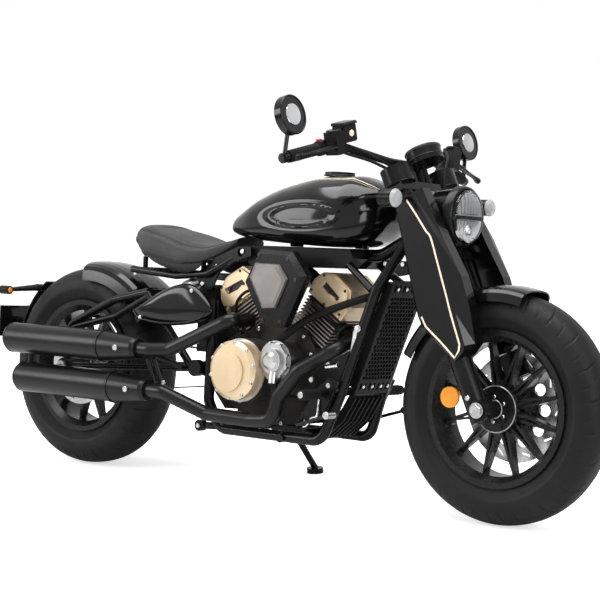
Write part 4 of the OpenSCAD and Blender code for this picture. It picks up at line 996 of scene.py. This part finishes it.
# Cables and hoses of the handlebar: each leaves a control, hangs in a loop
# ahead of the bar and goes down between the yokes or to the caliper.
cables = Shape()
for hand in (-1, 1):
    for radius, route in (
            (3.6, [(1150, 262, 1014), (1172, 224, 1004), (1200, 170, 984), (1226, 110, 958), (1246, 62, 930),
                   (1262, 36, 898), (1276, 24, 860)]),
            (4.2, [(1140, 276, 1000), (1166, 236, 984), (1204, 176, 968), (1236, 112, 942), (1254, 56, 912),
                   (1268, 30, 880), (1284, 18, 846)])):
        cables.hose([(x, hand * y, z) for x, y, z in route], radius)
cables.hose([(1146, 258, 1020), (1190, 214, 1026), (1240, 150, 1002), (1276, 84, 956), (1296, 52, 900),
             (1310, 40, 850)], 3.2)
cables.hose([(1344, 62, 760), (1392, 66, 660), (1420, 70, 590), (1452, 74, 520), (1490, 78, 450),
             (1528, 84, 410), (1548, 84, 394)], 4.0)
cables.piece("bar_cables", "fork", soft_rubber)

# The studio: a seamless white floor that keeps a soft shadow, a world that looks
# white but lights less, and large soft lamps above, to the left and in front.
scene = bpy.context.scene
scene.view_settings.view_transform = "Standard"
floor_paint = Paint("studio_floor", Base_Color=(0.86, 0.86, 0.86), Roughness=0.8, Specular_IOR_Level=0.0,
                    Emission_Strength=1.0)
seen_direct = floor_paint.node("LightPath", output="Is Camera Ray")
floor_paint.set(Emission_Color=floor_paint.mix(seen_direct, (0, 0, 0), (0.62, 0.62, 0.62)))
floor_mesh = bpy.data.meshes.new("floor")
floor_mesh.from_pydata([(-60, -60, 0), (60, -60, 0), (60, 60, 0), (-60, 60, 0)], [], [(0, 1, 2, 3)])
floor = bpy.data.objects.new("floor", floor_mesh)
scene.collection.objects.link(floor)
floor.data.materials.append(floor_paint.material)

scene.world = bpy.data.worlds.new("studio")
sky = NodeTree(scene.world)
sky.nodes.remove(sky.nodes["Background"])
camera_ray, glossy_ray, through_ray = (
    sky.node("LightPath", output=ray) for ray in ("Is Camera Ray", "Is Glossy Ray", "Is Transmission Ray"))
lighting = sky.node("Background", inputs={"Color": (1, 1, 1), "Strength": 0.5})
white = sky.node("Background", inputs={"Color": (1, 1, 1), "Strength": 1.0})
seen = camera_ray.either(glossy_ray).either(through_ray)
backdrop = sky.node("MixShader", inputs={0: seen, 1: lighting, 2: white})
sky.join(sky.nodes["World Output"].inputs["Surface"], backdrop)


def softbox(name, place, aim, width, height, power):
    lamp = bpy.data.lights.new(name, "AREA")
    lamp.shape = "RECTANGLE"
    lamp.size, lamp.size_y, lamp.energy = width, height, power
    holder = bpy.data.objects.new(name, lamp)
    holder.location = place
    holder.rotation_euler = (Vector(aim) - Vector(place)).to_track_quat("-Z", "Y").to_euler()
    scene.collection.objects.link(holder)


softbox("top_lamp", (0.2, -0.4, 3.6), (0.1, 0, 0.4), 3.6, 2.4, 210)
softbox("left_lamp", (-3.4, -3.4, 2.4), (0, 0, 0.5), 2.4, 2.0, 120)
softbox("front_lamp", (4.4, -1.6, 2.0), (0.4, 0, 0.6), 2.0, 2.0, 90)

# The camera stands ahead of the machine's right side and looks slightly down,
# as for a sales picture; its place was fitted in the machine's upright frame.
azimuth, elevation, roll = (radians(angle) for angle in (51.732, 1.138, 2.625))
camera_target = Vector((0.841, 0, 0.572))
camera_distance = 4.841
focal_pixels, picture_pixels = 1632.672, 600
toward = Vector((cos(azimuth) * cos(elevation), -sin(azimuth) * cos(elevation), sin(elevation)))
side = (-toward).cross(Vector((0, 0, 1))).normalized()
above = side.cross(-toward)
right = cos(roll) * side + sin(roll) * above
up = cos(roll) * above - sin(roll) * side
stand = Matrix((right, up, toward)).transposed().to_4x4()
stand.translation = camera_target + camera_distance * toward
camera_data = bpy.data.cameras.new("camera")
camera_data.sensor_width = 36
camera_data.lens = focal_pixels / picture_pixels * camera_data.sensor_width
camera = bpy.data.objects.new("camera", camera_data)
camera.matrix_world = PARKED @ Matrix.Scale(1000, 4) @ stand
scene.collection.objects.link(camera)
scene.camera = camera
